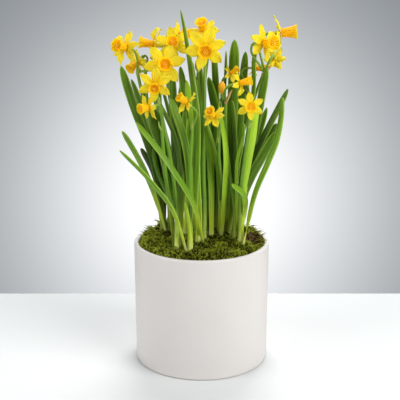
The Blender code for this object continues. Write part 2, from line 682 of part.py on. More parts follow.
def rod(stations, radii, sides):
    """Return a closed round rod through the stations."""
    stations = np.asarray(stations, float)
    count = len(stations)
    corners = []
    side = None
    for k in range(count):
        run = unit(stations[min(k + 1, count - 1)] - stations[max(k - 1, 0)])
        if side is None:
            side = unit(np.cross(run, (0.31, 0.95, 0.07)))
        side = unit(side - run * np.dot(side, run))
        other = np.cross(run, side)
        for step in range(sides):
            angle = 2.0 * math.pi * step / sides
            corners.append(stations[k] + radii[k] * (side * math.cos(angle) + other * math.sin(angle)))
    return corners, band_faces(count, sides)


def sheath_shape(strand, grow=0.0):
    """Return a shoot's sheath as a rod with a level foot, larger by the given clearance."""
    corners = []
    for k, middle in enumerate(strand.stations):
        radius = (SHEATH_RADIUS, SHEATH_RADIUS, SHEATH_TOP_RADIUS)[k] + grow
        height = middle[2] - (grow if k == 0 else 0.0)
        for step in range(SHEATH_SIDES):
            angle = 2.0 * math.pi * step / SHEATH_SIDES
            corners.append((middle[0] + radius * math.cos(angle), middle[1] + radius * math.sin(angle), height))
    return corners, band_faces(len(strand.stations), SHEATH_SIDES)


def blade_shape(strand):
    """Return a leaf blade: a shallow channel section that ends in a point."""
    stations, count = strand.stations, len(strand.stations)
    corners = []
    for k in range(count - 1):
        run = unit(stations[k + 1] - stations[max(k - 1, 0)])
        sight = unit(stations[k] - EYE)
        across = unit(np.cross(run, sight))
        face = np.cross(across, run)
        cos, sin = math.cos(strand.turns[k]), math.sin(strand.turns[k])
        across, face = across * cos + face * sin, face * cos - across * sin
        half, width = 0.5 * strand.thickness, strand.widths[k]
        lip = face * (LEAF_CHANNEL * width)
        corners.append(stations[k] - across * 0.5 * width + lip)
        corners.append(stations[k] + face * half)
        corners.append(stations[k] + across * 0.5 * width + lip)
        corners.append(stations[k] - face * half)
    corners.append(stations[-1])
    faces = band_faces(count - 1, 4)[:-1]
    last = (count - 2) * 4
    for step in range(4):
        faces.append((last + step, last + (step + 1) % 4, len(corners) - 1))
    return corners, faces


def petal_ring_shape(flower, index):
    """Return six petals round a hub, with the floral tube behind, as one closed shape."""
    radius, half = flower.radius, 0.5 * PETAL_THICKNESS
    draw = random.Random(PETAL_SEED + index)
    step = 2.0 * math.pi / PETALS
    corners, faces = [], []
    hub_top, hub_low = [], []
    for k in range(PETALS):
        angle = flower.roll + (k - 0.5) * step
        for ring, z in ((hub_top, half), (hub_low, -half)):
            ring.append(len(corners))
            corners.append(flower.ring_place(angle, HUB_SHARE * radius, z))
    for k in range(PETALS):
        angle = flower.roll + k * step + math.radians(draw.uniform(-PETAL_TURN, PETAL_TURN))
        length = radius * draw.uniform(*PETAL_LENGTHS)
        drop = -OUTER_WHORL_DROP if k % 2 else 0.0
        curl = draw.uniform(*PETAL_CURLS)
        twist = draw.uniform(-PETAL_TWIST, PETAL_TWIST)
        after = (k + 1) % PETALS
        low_left, low_right = hub_low[k], hub_low[after]
        rows = [(hub_top[k], None, hub_top[after], None)]
        for share, width in PETAL_EDGES:
            bend = drop * min(1.0, (share - HUB_SHARE) / DROP_RUN) + curl * (share - HUB_SHARE) ** 2
            out = share * length
            spread = width * radius
            row = []
            for across, lift in ((spread, twist), (0.0, half), (-spread, -twist), (0.0, -half)):
                row.append(len(corners))
                x = out * math.cos(angle) + across * math.sin(angle)
                y = out * math.sin(angle) - across * math.cos(angle)
                corners.append(flower.place(x, y, bend + lift))
            rows.append(tuple(row))
        tip = len(corners)
        corners.append(flower.ring_place(angle, length, drop + curl))
        left, top, right, low = rows[1]
        faces += [(rows[0][0], left, top), (rows[0][0], top, rows[0][2]), (rows[0][2], top, right)]
        faces += [(low_left, low, left), (low_left, low_right, low), (low_right, right, low)]
        faces += [(rows[0][0], low_left, left), (rows[0][2], right, low_right)]
        for near, far in zip(rows[1:-1], rows[2:]):
            for a, b in ((0, 1), (1, 2), (2, 3), (3, 0)):
                faces += [(near[a], far[a], far[b]), (near[a], far[b], near[b])]
        end = rows[-1]
        faces += [(end[a], tip, end[b]) for a, b in ((0, 1), (1, 2), (2, 3), (3, 0))]
    faces.append(tuple(hub_top))
    tube_end = []
    for k in range(PETALS):
        angle = flower.roll + (k - 0.5) * step
        tube_end.append(len(corners))
        corners.append(flower.ring_place(angle, TUBE_END_SHARE * radius, -flower.tube))
    for k in range(PETALS):
        after = (k + 1) % PETALS
        faces.append((hub_low[k], hub_low[after], tube_end[after], tube_end[k]))
    faces.append(tuple(tube_end))
    return corners, faces


def trumpet_shape(flower, index):
    """Return the flower's trumpet: a hollow cup with a frilled mouth, open to the front."""
    radius, sides = flower.radius, TRUMPET_SIDES
    start = 0.5 * PETAL_THICKNESS + FIT_GAP
    draw = random.Random(TRUMPET_SEED + index)
    frill = [draw.uniform(-TRUMPET_FRILL, TRUMPET_FRILL) * radius for _ in range(sides)]
    outer = [(share * flower.length, width * flower.mouth) for share, width in TRUMPET_PROFILE]
    inner = [(along, width - TRUMPET_WALL) for along, width in reversed(outer[1:])]
    inner.append((TRUMPET_WALL, outer[0][1] - TRUMPET_WALL))
    corners = []
    for number, (along, width) in enumerate(outer + inner):
        mouth = number in (len(outer) - 1, len(outer))
        for step in range(sides):
            angle = 2.0 * math.pi * step / sides
            wave = frill[step] if mouth else 0.0
            corners.append(flower.ring_place(angle, width + 0.5 * wave, start + along + 0.5 * wave))
    return corners, band_faces(len(outer) + len(inner), sides)


def bud_shape(flower):
    """Return a closed bud, widest past its middle."""
    corners = []
    for share, swell in BUD_PROFILE:
        for step in range(STEM_SIDES):
            angle = 2.0 * math.pi * step / STEM_SIDES
            corners.append(flower.ring_place(angle, flower.radius * swell, share * flower.length))
    return corners, band_faces(len(BUD_PROFILE), STEM_SIDES)


def make_pot():
    """Make the pot: a turned cup with a thick floor and softly broken edges."""
    inner = POT_RIM_RADIUS - POT_WALL
    edge = POT_EDGE
    profile = (
        (POT_FOOT_RADIUS - edge, 0.0), (POT_FOOT_RADIUS, edge), (POT_RIM_RADIUS, POT_HEIGHT - edge),
        (POT_RIM_RADIUS - edge, POT_HEIGHT), (inner + edge, POT_HEIGHT), (inner, POT_HEIGHT - edge),
        (inner, POT_FLOOR),
    )
    make_object("pot", lathe(profile, POT_SIDES), "ceramic", smooth=30.0)


def make_bulbs():
    """Make each plant's bulb, in the soil under its shoots."""
    for number, plant in enumerate(plant_letters()):
        shape = lathe(BULB_PROFILE, BULB_SIDES, bulb_centre(plant), BULB_TURN * number)
        make_object(f"bulb_{plant.lower()}", shape, "bulb_skin", smooth=40.0)


def plant_letters():
    """Return the plants' letters in order."""
    return sorted({name[0] for name in SHOOTS})


def make_soil(bouquet):
    """Make the potting soil, with a bed for each bulb and a hole for each shoot."""
    radius = POT_RIM_RADIUS - POT_WALL - FIT_GAP
    foot = POT_FLOOR + FIT_GAP
    soil = make_object("potting_soil", lathe(((radius, foot), (radius, SOIL_TOP)), SOIL_SIDES), "soil")
    beds = []
    for number, plant in enumerate(plant_letters()):
        profile = [(r + FIT_GAP, z) for r, z in BULB_PROFILE]
        profile[0] = (profile[0][0], profile[0][1] - FIT_GAP)
        profile[-1] = (profile[-1][0], profile[-1][1] + BULB_BED_HEADROOM)
        beds.append(lathe(profile, BULB_SIDES, bulb_centre(plant), BULB_TURN * number))
    holes = [sheath_shape(strand, SHOOT_HOLE_GAP) for strand in bouquet.sheaths]
    combine(soil, beds + holes, "DIFFERENCE", "MANIFOLD")


def moss_height(x, y):
    """Return the height of the moss over a place: a low dome with cushions on it."""
    reach = (x * x + y * y) / (POT_RIM_RADIUS - POT_WALL) ** 2
    height = MOSS_EDGE_HEIGHT + MOSS_CROWN * (1.0 - reach)
    for cx, cy, radius, rise in MOSS_CUSHIONS:
        height += rise * math.exp(-((x - cx) ** 2 + (y - cy) ** 2) / (0.5 * radius * radius))
    ripple, along_x, along_y, start = MOSS_RIPPLE
    grain, grain_x, grain_y = MOSS_GRAIN
    height += ripple * math.sin(along_x * x + start) * math.sin(along_y * y)
    return height - grain * math.cos(grain_x * x - grain_y * y)


def make_moss(bouquet):
    """Make the mat of moss that covers the soil, with a plain hole round each shoot."""
    radius = POT_RIM_RADIUS - POT_WALL - FIT_GAP
    foot = SOIL_TOP + FIT_GAP
    corners = [(0.0, 0.0, moss_height(0.0, 0.0))]
    faces = []
    for ring in range(1, MOSS_RINGS + 1):
        for step in range(MOSS_SECTORS):
            angle = 2.0 * math.pi * (step + 0.5 * (ring % 2)) / MOSS_SECTORS
            x = radius * ring / MOSS_RINGS * math.cos(angle)
            y = radius * ring / MOSS_RINGS * math.sin(angle)
            corners.append((x, y, moss_height(x, y)))
    last = 1 + (MOSS_RINGS - 1) * MOSS_SECTORS
    for step in range(MOSS_SECTORS):
        x, y, _ = corners[last + step]
        corners.append((x, y, foot))
    for step in range(MOSS_SECTORS):
        after = (step + 1) % MOSS_SECTORS
        faces.append((0, 1 + step, 1 + after))
        for ring in range(1, MOSS_RINGS):
            near, far = 1 + (ring - 1) * MOSS_SECTORS, 1 + ring * MOSS_SECTORS
            if ring % 2:
                faces += [(near + step, far + step, far + after), (near + step, far + after, near + after)]
            else:
                faces += [(near + step, far + step, near + after), (near + after, far + step, far + after)]
        faces.append((last + step, last + MOSS_SECTORS + step, last + MOSS_SECTORS + after, last + after))
    faces.append(tuple(range(last + MOSS_SECTORS, last + 2 * MOSS_SECTORS)))
    moss = make_object("moss_mat", (corners, faces), "moss")
    combine(moss, [sheath_shape(strand, SHOOT_HOLE_GAP) for strand in bouquet.sheaths], "DIFFERENCE")


def make_plants(bouquet):
    """Make each plant: sheaths, leaves, scapes, stalks and ovaries, fused in one solid."""
    for plant in plant_letters():
        shapes = [sheath_shape(strand) for strand in bouquet.sheaths if strand.plant == plant]
        shapes += [blade_shape(strand) for strand in bouquet.leaves if strand.plant == plant]
        for strand in bouquet.stems:
            if strand.plant == plant:
                shapes.append(rod(strand.stations, 0.5 * strand.widths, STEM_SIDES))
        item = make_object(f"plant_{plant.lower()}", shapes[0], "leaf")
        combine(item, shapes[1:], "UNION", "MANIFOLD")


def make_flowers(bouquet):
    """Make each flower's petals and trumpet, and each bud."""
    for index, (name, flower) in enumerate(bouquet.flowers.items()):
        if flower.bud:
            make_object(f"bud_{name}", bud_shape(flower), "petal")
        else:
            make_object(f"bloom_{name}_petals", petal_ring_shape(flower, index), "petal")
            make_object(f"bloom_{name}_trumpet", trumpet_shape(flower, index), "trumpet")


def main():
    """Build the potted daffodils."""
    clear_scene()
    bouquet = Bouquet()
    make_pot()
    make_bulbs()
    make_soil(bouquet)
    make_moss(bouquet)
    make_plants(bouquet)
    make_flowers(bouquet)


main()
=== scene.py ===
"""The looks of a potted clump of miniature daffodils.

Sizes are millimetres unless a name says otherwise; meshes are written in metres, +Z up.
The origin is the middle of the pot's foot, and the front of the pot faces -Y.
"""

import json
import logging
import math
import random
from abc import ABC, abstractmethod
from collections.abc import Callable, Iterable, Mapping, Sequence
from dataclasses import dataclass, field
from enum import Enum
from functools import partial
from typing import Any, ClassVar

import bmesh
import bpy
import numpy as np
from mathutils import Matrix, Vector, noise

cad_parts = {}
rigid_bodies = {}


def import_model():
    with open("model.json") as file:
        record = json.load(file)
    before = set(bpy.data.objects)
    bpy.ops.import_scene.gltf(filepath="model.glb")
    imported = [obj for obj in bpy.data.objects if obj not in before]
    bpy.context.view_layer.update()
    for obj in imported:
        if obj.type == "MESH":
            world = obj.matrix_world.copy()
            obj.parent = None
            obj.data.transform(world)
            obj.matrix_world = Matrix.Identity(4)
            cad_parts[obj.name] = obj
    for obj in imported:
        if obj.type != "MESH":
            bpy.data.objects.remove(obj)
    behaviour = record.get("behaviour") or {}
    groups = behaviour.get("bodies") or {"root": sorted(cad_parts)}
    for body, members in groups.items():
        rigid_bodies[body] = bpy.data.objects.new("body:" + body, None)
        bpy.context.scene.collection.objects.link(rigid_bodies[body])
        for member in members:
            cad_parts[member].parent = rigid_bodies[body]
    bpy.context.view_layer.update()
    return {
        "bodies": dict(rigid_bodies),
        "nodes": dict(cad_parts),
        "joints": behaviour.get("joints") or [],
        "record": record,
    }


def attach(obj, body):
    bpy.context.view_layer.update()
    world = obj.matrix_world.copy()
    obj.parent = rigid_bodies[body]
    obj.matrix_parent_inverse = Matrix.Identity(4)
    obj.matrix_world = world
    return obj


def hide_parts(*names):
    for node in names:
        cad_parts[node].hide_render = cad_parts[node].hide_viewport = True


LOG = logging.getLogger("daffodils")

MM = 0.001
BODY = "root"

Colour = tuple[float, float, float]
Place = tuple[float, float, float]
Profile = tuple[tuple[float, float], ...]
NodeMaker = Callable[..., bpy.types.NodeOutputs]

# The ShaderNodeMix sockets that carry colours
MIX_FACTOR = 0
MIX_FROM = 6
MIX_TO = 7
MIX_RESULT = 2


class Slot(Enum):
    """The record's material slots."""

    POT = "pot_ceramic"
    SOIL = "soil"
    MOSS = "moss"
    BULB = "bulb_skin"
    LEAF = "leaf"
    PETAL = "petal"
    TRUMPET = "trumpet"


# Shared sizes of the pot, the soil and the moss

POT_RIM_RADIUS = 82.5
POT_FOOT_RADIUS = 82.0
POT_HEIGHT = 148.0
POT_WALL = 5.5
POT_FLOOR = 6.0
FIT_GAP = 0.3
SOIL_TOP = 139.0
MOSS_EDGE_HEIGHT = 145.5
MOSS_CROWN = 9.0

# Cushions of moss: x, y, radius, height
MOSS_CUSHIONS = (
    (-62, -14, 15, 5), (-66, 22, 14, 7), (-50, 46, 20, 11), (-12, 66, 16, 8), (30, 62, 17, 7),
    (62, 34, 15, 7), (69, 2, 12, 8), (58, -38, 13, 3), (26, -60, 17, 4), (6, -62, 12, 3),
    (-14, -68, 11, 3), (-48, -46, 14, 4), (20, -42, 13, 3), (-52, 6, 12, 3), (66, -18, 9, -3),
)

# Shoots: where each one stands in the moss, and the sheath round its foot
BULB_TOP = 112.0
SHEATH_TOP = 188.0
SHEATH_RADIUS = 5.2
SHEATH_BEND = SOIL_TOP + 0.5 * FIT_GAP
SHOOTS: dict[str, tuple[float, float]] = {
    "A0": (-47, 29), "A1": (-39, 20),
    "B0": (-29, -49), "B1": (-13, -50),
    "C0": (-4, -36), "C1": (3, -21),
    "D0": (12, -5), "D1": (22, 3), "D2": (31, 4), "D3": (16, 27),
    "E0": (46, -29), "E1": (40, -19),
    "F0": (44, 24), "F1": (50, 38),
    "G0": (-22, 2), "G1": (-24, 15),
    "H0": (-8, 44), "H1": (2, 53),
}

# Leaves
LEAF_START = 168.0
LEAF_SPREAD = 2.2
LEAF_THICKNESS = 1.5
# Where a leaf's stations lie along it
LEAF_FRACTIONS = (0.0, 0.18, 0.36, 0.54, 0.71, 0.86, 0.96, 1.0)
# A leaf's width along it, over its greatest
LEAF_WIDTHS = ((0.0, 0.6), (0.2, 0.82), (0.45, 1.0), (0.75, 0.98), (0.88, 0.86), (0.96, 0.55), (1.0, 0.0))

# Each leaf: shoot, width, turn of its face from the front and twist to the tip in degrees, places
LEAVES = (
    ("A0", 11, 0, 0, ((-62, 12, 258), (-83, 4, 320), (-94, 0, 360))),
    ("A0", 10.5, 30, 20, ((-54, 26, 243), (-71, 22, 303), (-84, 18, 343))),
    ("A1", 8, 55, -5, ((-55, 14, 195), (-71, 6, 237), (-94, -4, 284))),
    ("A1", 8, 60, -15, ((-52, 24, 199), (-60, 22, 229), (-74, 20, 259))),
    ("A0", 11, -20, 10, ((-51, 36, 228), (-60, 38, 278), (-72, 40, 325))),
    ("B0", 9.5, 45, 15, ((-26, -36, 226), (-29, -26, 271), (-52, -12, 325))),
    ("B0", 10, -35, -15, ((-21, -26, 230), (-23, -18, 276), (-37, -8, 324))),
    ("B0", 9.5, -45, -10, ((-36, -34, 207), (-45, -22, 253), (-63, -12, 303))),
    ("B1", 9.5, 45, 15, ((-25, -56, 188), (-58, -68, 238), (-92, -62, 272))),
    ("B1", 10, -30, 5, ((-13, -44, 216), (-17, -36, 267), (-34, -26, 325))),
    ("B1", 8, 65, -15, ((-15, -52, 176), (-19, -56, 210))),
    ("B1", 8.5, -55, -5, ((-14, -38, 208), (-15, -34, 255), (-16, -30, 303))),
    ("C0", 11, 10, 65, ((-8, -42, 215), (-5, -36, 291), (-15, -13, 370), (-24, -4, 424))),
    ("C1", 10, -40, 0, ((-11, -50, 212), (-36, -62, 256), (-73, -56, 303))),
    ("C1", 10, 35, -15, ((-4, -26, 218), (-9, -18, 288), (-18, -4, 344))),
    ("D0", 10.5, 30, 5, ((10, 0, 224), (17, 6, 307), (14, 8, 378))),
    ("D0", 10, -35, 15, ((12, -12, 214), (8, -12, 275), (-2, 2, 320))),
    ("D1", 8, 55, -10, ((21, -6, 213), (17, -16, 251), (5, -30, 299))),
    ("D1", 9, -45, -15, ((27, -8, 201), (29, -20, 264), (20, -28, 317))),
    ("D1", 10.5, 30, 15, ((22, 10, 221), (20, 14, 282), (8, 12, 346))),
    ("D2", 13, 0, 10, ((34, 10, 209), (37, 20, 293), (39, 22, 389))),
    ("D2", 7.5, 75, -15, ((29, 16, 220), (27, 22, 305), (29, 20, 376))),
    ("D2", 10, 35, -5, ((37, -6, 213), (38, -10, 262), (35, -8, 321))),
    ("D2", 11, -25, 20, ((39, 20, 206), (47, 34, 291), (53, 36, 374))),
    ("E0", 10, 40, 0, ((56, -38, 202), (75, -46, 254), (86, -44, 284), (92, -34, 328))),
    ("E0", 12, 0, -20, ((51, -26, 218), (64, -30, 246), (86, -28, 287))),
    ("E0", 10, 35, 5, ((53, -10, 232), (74, -8, 280), (101, -4, 334))),
    ("E1", 8.5, -55, 15, ((52, -32, 197), (49, -44, 217), (34, -58, 232))),
    ("E1", 11, 25, -10, ((52, -2, 224), (66, 8, 295), (77, 10, 358))),
    ("E1", 8, 60, -15, ((54, 6, 235), (66, 14, 264), (79, 22, 306))),
    ("E1", 8, 55, 10, ((41, -20, 216), (41, -24, 253), (49, -30, 286))),
    ("E0", 10, -30, 10, ((51, -30, 231), (58, -36, 279), (63, -36, 327))),
    ("F0", 8, 60, -15, ((53, 26, 255), (62, 22, 329), (63, 14, 377), (70, 8, 400))),
    ("F0", 10.5, 30, -10, ((38, 44, 213), (43, 52, 288), (48, 56, 345))),
    ("F1", 10.5, -30, 15, ((53, 52, 225), (67, 62, 287), (77, 66, 322))),
    ("F1", 10, 40, 5, ((44, 60, 223), (55, 72, 298), (59, 78, 330))),
    ("G0", 10.5, 30, -20, ((-30, 8, 222), (-33, 10, 295), (-35, 8, 353))),
    ("G0", 11, -30, 0, ((-15, -2, 224), (-16, 2, 296), (-25, 8, 359))),
    ("G1", 9.5, 45, 20, ((-29, 20, 232), (-38, 24, 293), (-49, 28, 336))),
    ("G1", 7.5, 80, -5, ((-7, 14, 220), (-3, 12, 295), (-11, 8, 365))),
    ("H0", 10.5, 30, -15, ((-7, 48, 212), (-4, 54, 288), (-2, 60, 359))),
    ("H0", 10, -35, 10, ((-20, 56, 224), (-27, 68, 299), (-22, 76, 343))),
    ("H1", 10.5, 30, 15, ((4, 56, 224), (15, 66, 286), (17, 72, 346))),
    ("H1", 10, 40, -15, ((-35, 58, 223), (-53, 70, 286), (-55, 76, 333))),
    ("A0", 10, 75, -10, ((-52, 48, 220), (-58, 70, 285), (-60, 92, 322))),
    ("H0", 10, 15, 15, ((-14, 62, 220), (-18, 84, 280), (-16, 100, 318))),
    ("H1", 10.5, 60, 5, ((8, 64, 222), (20, 86, 284), (30, 98, 330))),
    ("F1", 10, 70, -20, ((56, 50, 220), (70, 66, 270), (84, 84, 300))),
    ("G0", 10, 20, 15, ((-18, -6, 215), (-22, -4, 262), (-20, 2, 308))),
    ("G1", 10, -25, 10, ((-34, 26, 215), (-46, 34, 262), (-58, 42, 304))),
    ("D0", 10, -15, 20, ((8, -4, 210), (4, 2, 255), (8, 10, 300))),
    ("D2", 9, 30, -20, ((33, 2, 205), (44, 6, 250), (50, 10, 292))),
    ("H1", 11, 10, 15, ((14, 50, 210), (24, 48, 262), (28, 44, 316))),
    ("F0", 10, -20, 20, ((54, 22, 205), (72, 24, 250), (92, 30, 288))),
    ("D3", 9, 20, 10, ((14, 24, 212), (16, 20, 262), (20, 18, 318))),
)

# Leaf breadth over that of the solid part, by shoot and number on it, where it isn't the usual one
LEAF_BREADTHS = {("C1", 0): 0.76, ("B1", 0): 0.84, ("D2", 0): 1.04, ("E0", 0): 0.85, ("C0", 0): 1.0,
                 ("D3", 0): 1.7, ("D1", 1): 1.2, ("D1", 2): 1.3, ("A1", 0): 1.3, ("A1", 1): 1.3,
                 ("A0", 2): 1.25, ("A0", 3): 1.2, ("G1", 1): 1.3, ("G1", 2): 1.6}
USUAL_LEAF_BREADTH = 0.95

# Leaves whose tone is set: 0 is dark with painted shade and 1 is fresh
LEAF_TONES = {("C0", 0): 0.44, ("C1", 0): 0.5, ("E0", 0): 0.55, ("E1", 0): 0.6, ("B1", 2): 0.9}

# Flowers: centre, compass turn from the front, tilt up, spread, trumpet length and mouth, roll
BLOOMS: dict[str, tuple] = {
    "01": ((-89, -5, 381), -35, 15, 43, 14, 16, 20),
    "02": ((-56, 22, 383), -80, 10, 45, 17, 14, 0),
    "03": ((-33, -8, 385), 0, 15, 44, 15, 15, 40),
    "04": ((-42, -28, 364), 5, 5, 50, 16, 16, 10),
    "05": ((-52, -50, 343), 0, -10, 41, 14, 13, 25),
    "06": ((4, -30, 382), 0, -10, 50, 16, 17, 14),
    "07": ((2, 25, 400), -20, 50, 40, 12, 15, 0),
    "08": ((-26, 30, 394), 60, 5, 36, 13, 12, 30),
    "09": ((-77, 25, 362), -40, -30, 36, 14, 13, 15),
    "10": ((-59, -68, 321), -50, -5, 32, 10, 12, 5),
    "11": ((-17, -60, 325), -60, 38, 30, 11, 11, 30),
    "12": ((13, -50, 309), -30, 35, 31, 11, 11, 0),
    "13": ((54, -55, 320), 0, 5, 33, 9, 13, 30),
    "14": ((43, -45, 345), 65, 15, 30, 12, 11, 10),
    "15": ((34, 0, 351), 50, 30, 25, 10, 9, 20),
    "17": ((71, -20, 387), 40, 5, 43, 15, 17, 35),
    "18": ((92, 10, 397), 85, 5, 42, 18, 17, 15),
    "19": ((87, 20, 366), 165, -25, 30, 12, 11, 0),
    "20": ((64, 25, 355), 70, 0, 28, 12, 10, 25),
}

# Petal breadth over the usual one, where a flower's petals are narrower or broader
PETAL_BREADTHS = {"01": 0.74, "04": 0.9, "05": 0.84, "06": 0.94, "10": 0.76, "11": 0.7, "14": 0.66,
                  "15": 0.74}
USUAL_BREADTH = 0.86

# How much more the petals twist and wave on the flowers that are seen edge on
PETAL_TWISTS = {"01": 1.6, "02": 2.6, "11": 1.8, "14": 1.8, "18": 1.5, "20": 2.0}

# How far petals bend back at their tips, where they do
PETAL_REFLEXES = {"01": 3.0, "14": 3.0, "18": 9.0, "20": 3.0}

# Closed buds: foot, compass turn, tilt up, width, length
BUDS: dict[str, tuple] = {
    "16": ((23, -20, 330), 10, 78, 9, 15),
    "21": ((-4, -9, 369), 0, -78, 8, 16),
}

# Scapes: shoot, foot radius, places up to the fork, flowers on it
SCAPES = (
    ("A1", 2.6, ((-51, 16, 220), (-67, 14, 306), (-76, 12, 352)), ("01", "04")),
    ("G1", 2.6, ((-31, 22, 231), (-38, 30, 316), (-46, 30, 362)), ("02", "03", "08")),
    ("B0", 2.4, ((-31, -46, 224), (-41, -40, 287), (-49, -33, 322)), ("05",)),
    ("C1", 3.4, ((2, -24, 229), (3, -18, 311), (4, -7, 360)), ("06",)),
    ("H0", 2.5, ((-2, 46, 226), (3, 44, 327), (7, 41, 364)), ("07",)),
    ("A1", 2.4, ((-56, 32, 254), (-67, 37, 320), (-68, 39, 350)), ("09",)),
    ("B0", 2.2, ((-36, -52, 211), (-43, -52, 268), (-45, -50, 298)), ("10",)),
    ("B1", 2.2, ((-13, -50, 212), (-12, -48, 270), (-10, -48, 298)), ("11",)),
    ("D1", 2.2, ((24, -14, 215), (20, -28, 262), (20, -33, 280)), ("12",)),
    ("E0", 2.2, ((46, -30, 219), (51, -37, 268), (54, -38, 298)), ("13",)),
    ("E1", 2.5, ((34, -18, 228), (28, -16, 290), (28, -14, 322)), ("14", "15", "16")),
    ("F0", 2.6, ((43, 32, 229), (61, 24, 312), (74, 12, 352)), ("17", "18", "19")),
    ("F1", 2.2, ((52, 44, 226), (60, 42, 296), (56, 36, 330)), ("20",)),
    ("C1", 2.0, ((-1, -14, 227), (0, -10, 286), (-4, -4, 345)), ("21",)),
)
SCAPE_STATIONS = 7
SCAPE_TOP_RADIUS = 1.9
STALK_RADIUS = 1.6
STALK_FRACTIONS = (0.0, 0.36, 0.7, 1.0)

# A flower's own proportions, as shares of its radius
TUBE_SHARE = 0.5
TUBE_END_SHARE = 0.1
OVARY_SHARE = 0.3
OVARY_RADIUS_SHARE = 0.14
HUB_SHARE = 0.2

# Sizes that are the same on every flower or bud
BUD_OVARY = 4.0
BUD_OVARY_RADIUS = 2.0
PETAL_THICKNESS = 1.3
OUTER_WHORL_DROP = 2.0

# The front of the object is seen from here; crossing strands are set apart along these lines
EYE = np.array((-2.0, -960.0, 446.0))
CLEARANCE = 1.0
SETTLE_ROUNDS = 400
SETTLE_SHARE = 0.6
EASE_KEPT = 0.86
EASE_SPREAD = 0.07
NEAR_DEPTH = 7.0
LONGEST_PUSH = 6.0
SAMPLE_STEP = 4.0
FLOWER_MARK = 1000
PAIR_MARK = 5000
CURVE_STEPS = 20


def unit(vector: Sequence[float] | np.ndarray) -> np.ndarray:
    """Return the vector at length one."""
    vector = np.asarray(vector, float)
    return vector / np.linalg.norm(vector)


def smooth_step(value: np.ndarray | float, low: float, high: float) -> np.ndarray | float:
    """Return a smooth rise from 0 at low to 1 at high."""
    share = np.clip((np.asarray(value, float) - low) / (high - low), 0.0, 1.0)
    return share * share * (3.0 - 2.0 * share)


def smooth_path(places: Sequence[Sequence[float]] | np.ndarray, fractions: Sequence[float]) -> np.ndarray:
    """Read places off the smooth curve through given places.

    Args:
        places: the points that the curve goes through.
        fractions: shares of the curve's length, from 0 to 1.

    Returns:
        One row for each fraction.
    """
    places = np.asarray(places, float)
    steps = np.linalg.norm(np.diff(places, axis=0), axis=1)
    slopes = np.diff(places, axis=0) / steps[:, None]
    tangents = np.empty_like(places)
    tangents[0] = slopes[0]
    tangents[-1] = slopes[-1]
    for k in range(1, len(places) - 1):
        before, after = steps[k - 1], steps[k]
        tangents[k] = (slopes[k - 1] * after + slopes[k] * before) / (before + after)
    dense = []
    for k, step in enumerate(steps):
        for t in np.linspace(0.0, 1.0, CURVE_STEPS, endpoint=False):
            h01 = t * t * (3.0 - 2.0 * t)
            h10 = t * (1.0 - t) ** 2
            h11 = t * t * (t - 1.0)
            dense.append(places[k] * (1.0 - h01) + places[k + 1] * h01
                         + step * (h10 * tangents[k] + h11 * tangents[k + 1]))
    dense.append(places[-1])
    dense = np.array(dense)
    run = np.concatenate(([0.0], np.cumsum(np.linalg.norm(np.diff(dense, axis=0), axis=1))))
    wanted = np.asarray(fractions) * run[-1]
    return np.stack([np.interp(wanted, run, dense[:, axis]) for axis in range(3)], axis=1)


def facing(turn: float, tilt: float) -> np.ndarray:
    """Return the direction for a compass turn from the front and a tilt up, in degrees."""
    turn, tilt = math.radians(turn), math.radians(tilt)
    return np.array((math.sin(turn) * math.cos(tilt), -math.cos(turn) * math.cos(tilt), math.sin(tilt)))


# How the plants stand: the same places and the same settling as the solid parts have


@dataclass
class Strand:
    """One blade or stem: stations on its middle line, and what each station moves with.

    Attributes:
        plant: the letter of the plant that it grows from.
        stations: points on its middle line.
        movers: for each station, the number of the free depth that it moves with; 0 stays.
        own: the flower that a stalk carries.
        thickness: from its face to its back.
        widths: its width at each station.
        turns: the turn of its face at each station, from square to the line of sight.
    """

    plant: str
    stations: np.ndarray
    movers: list[int]
    own: str | None = None
    thickness: float = 0.0
    widths: np.ndarray = field(default_factory=lambda: np.zeros(0))
    turns: np.ndarray = field(default_factory=lambda: np.zeros(0))

    def __post_init__(self) -> None:
        """Give every station a width and a turn."""
        self.stations = np.asarray(self.stations, float)
        if not len(self.widths):
            self.widths = np.zeros(len(self.stations))
        if not len(self.turns):
            self.turns = np.zeros(len(self.stations))


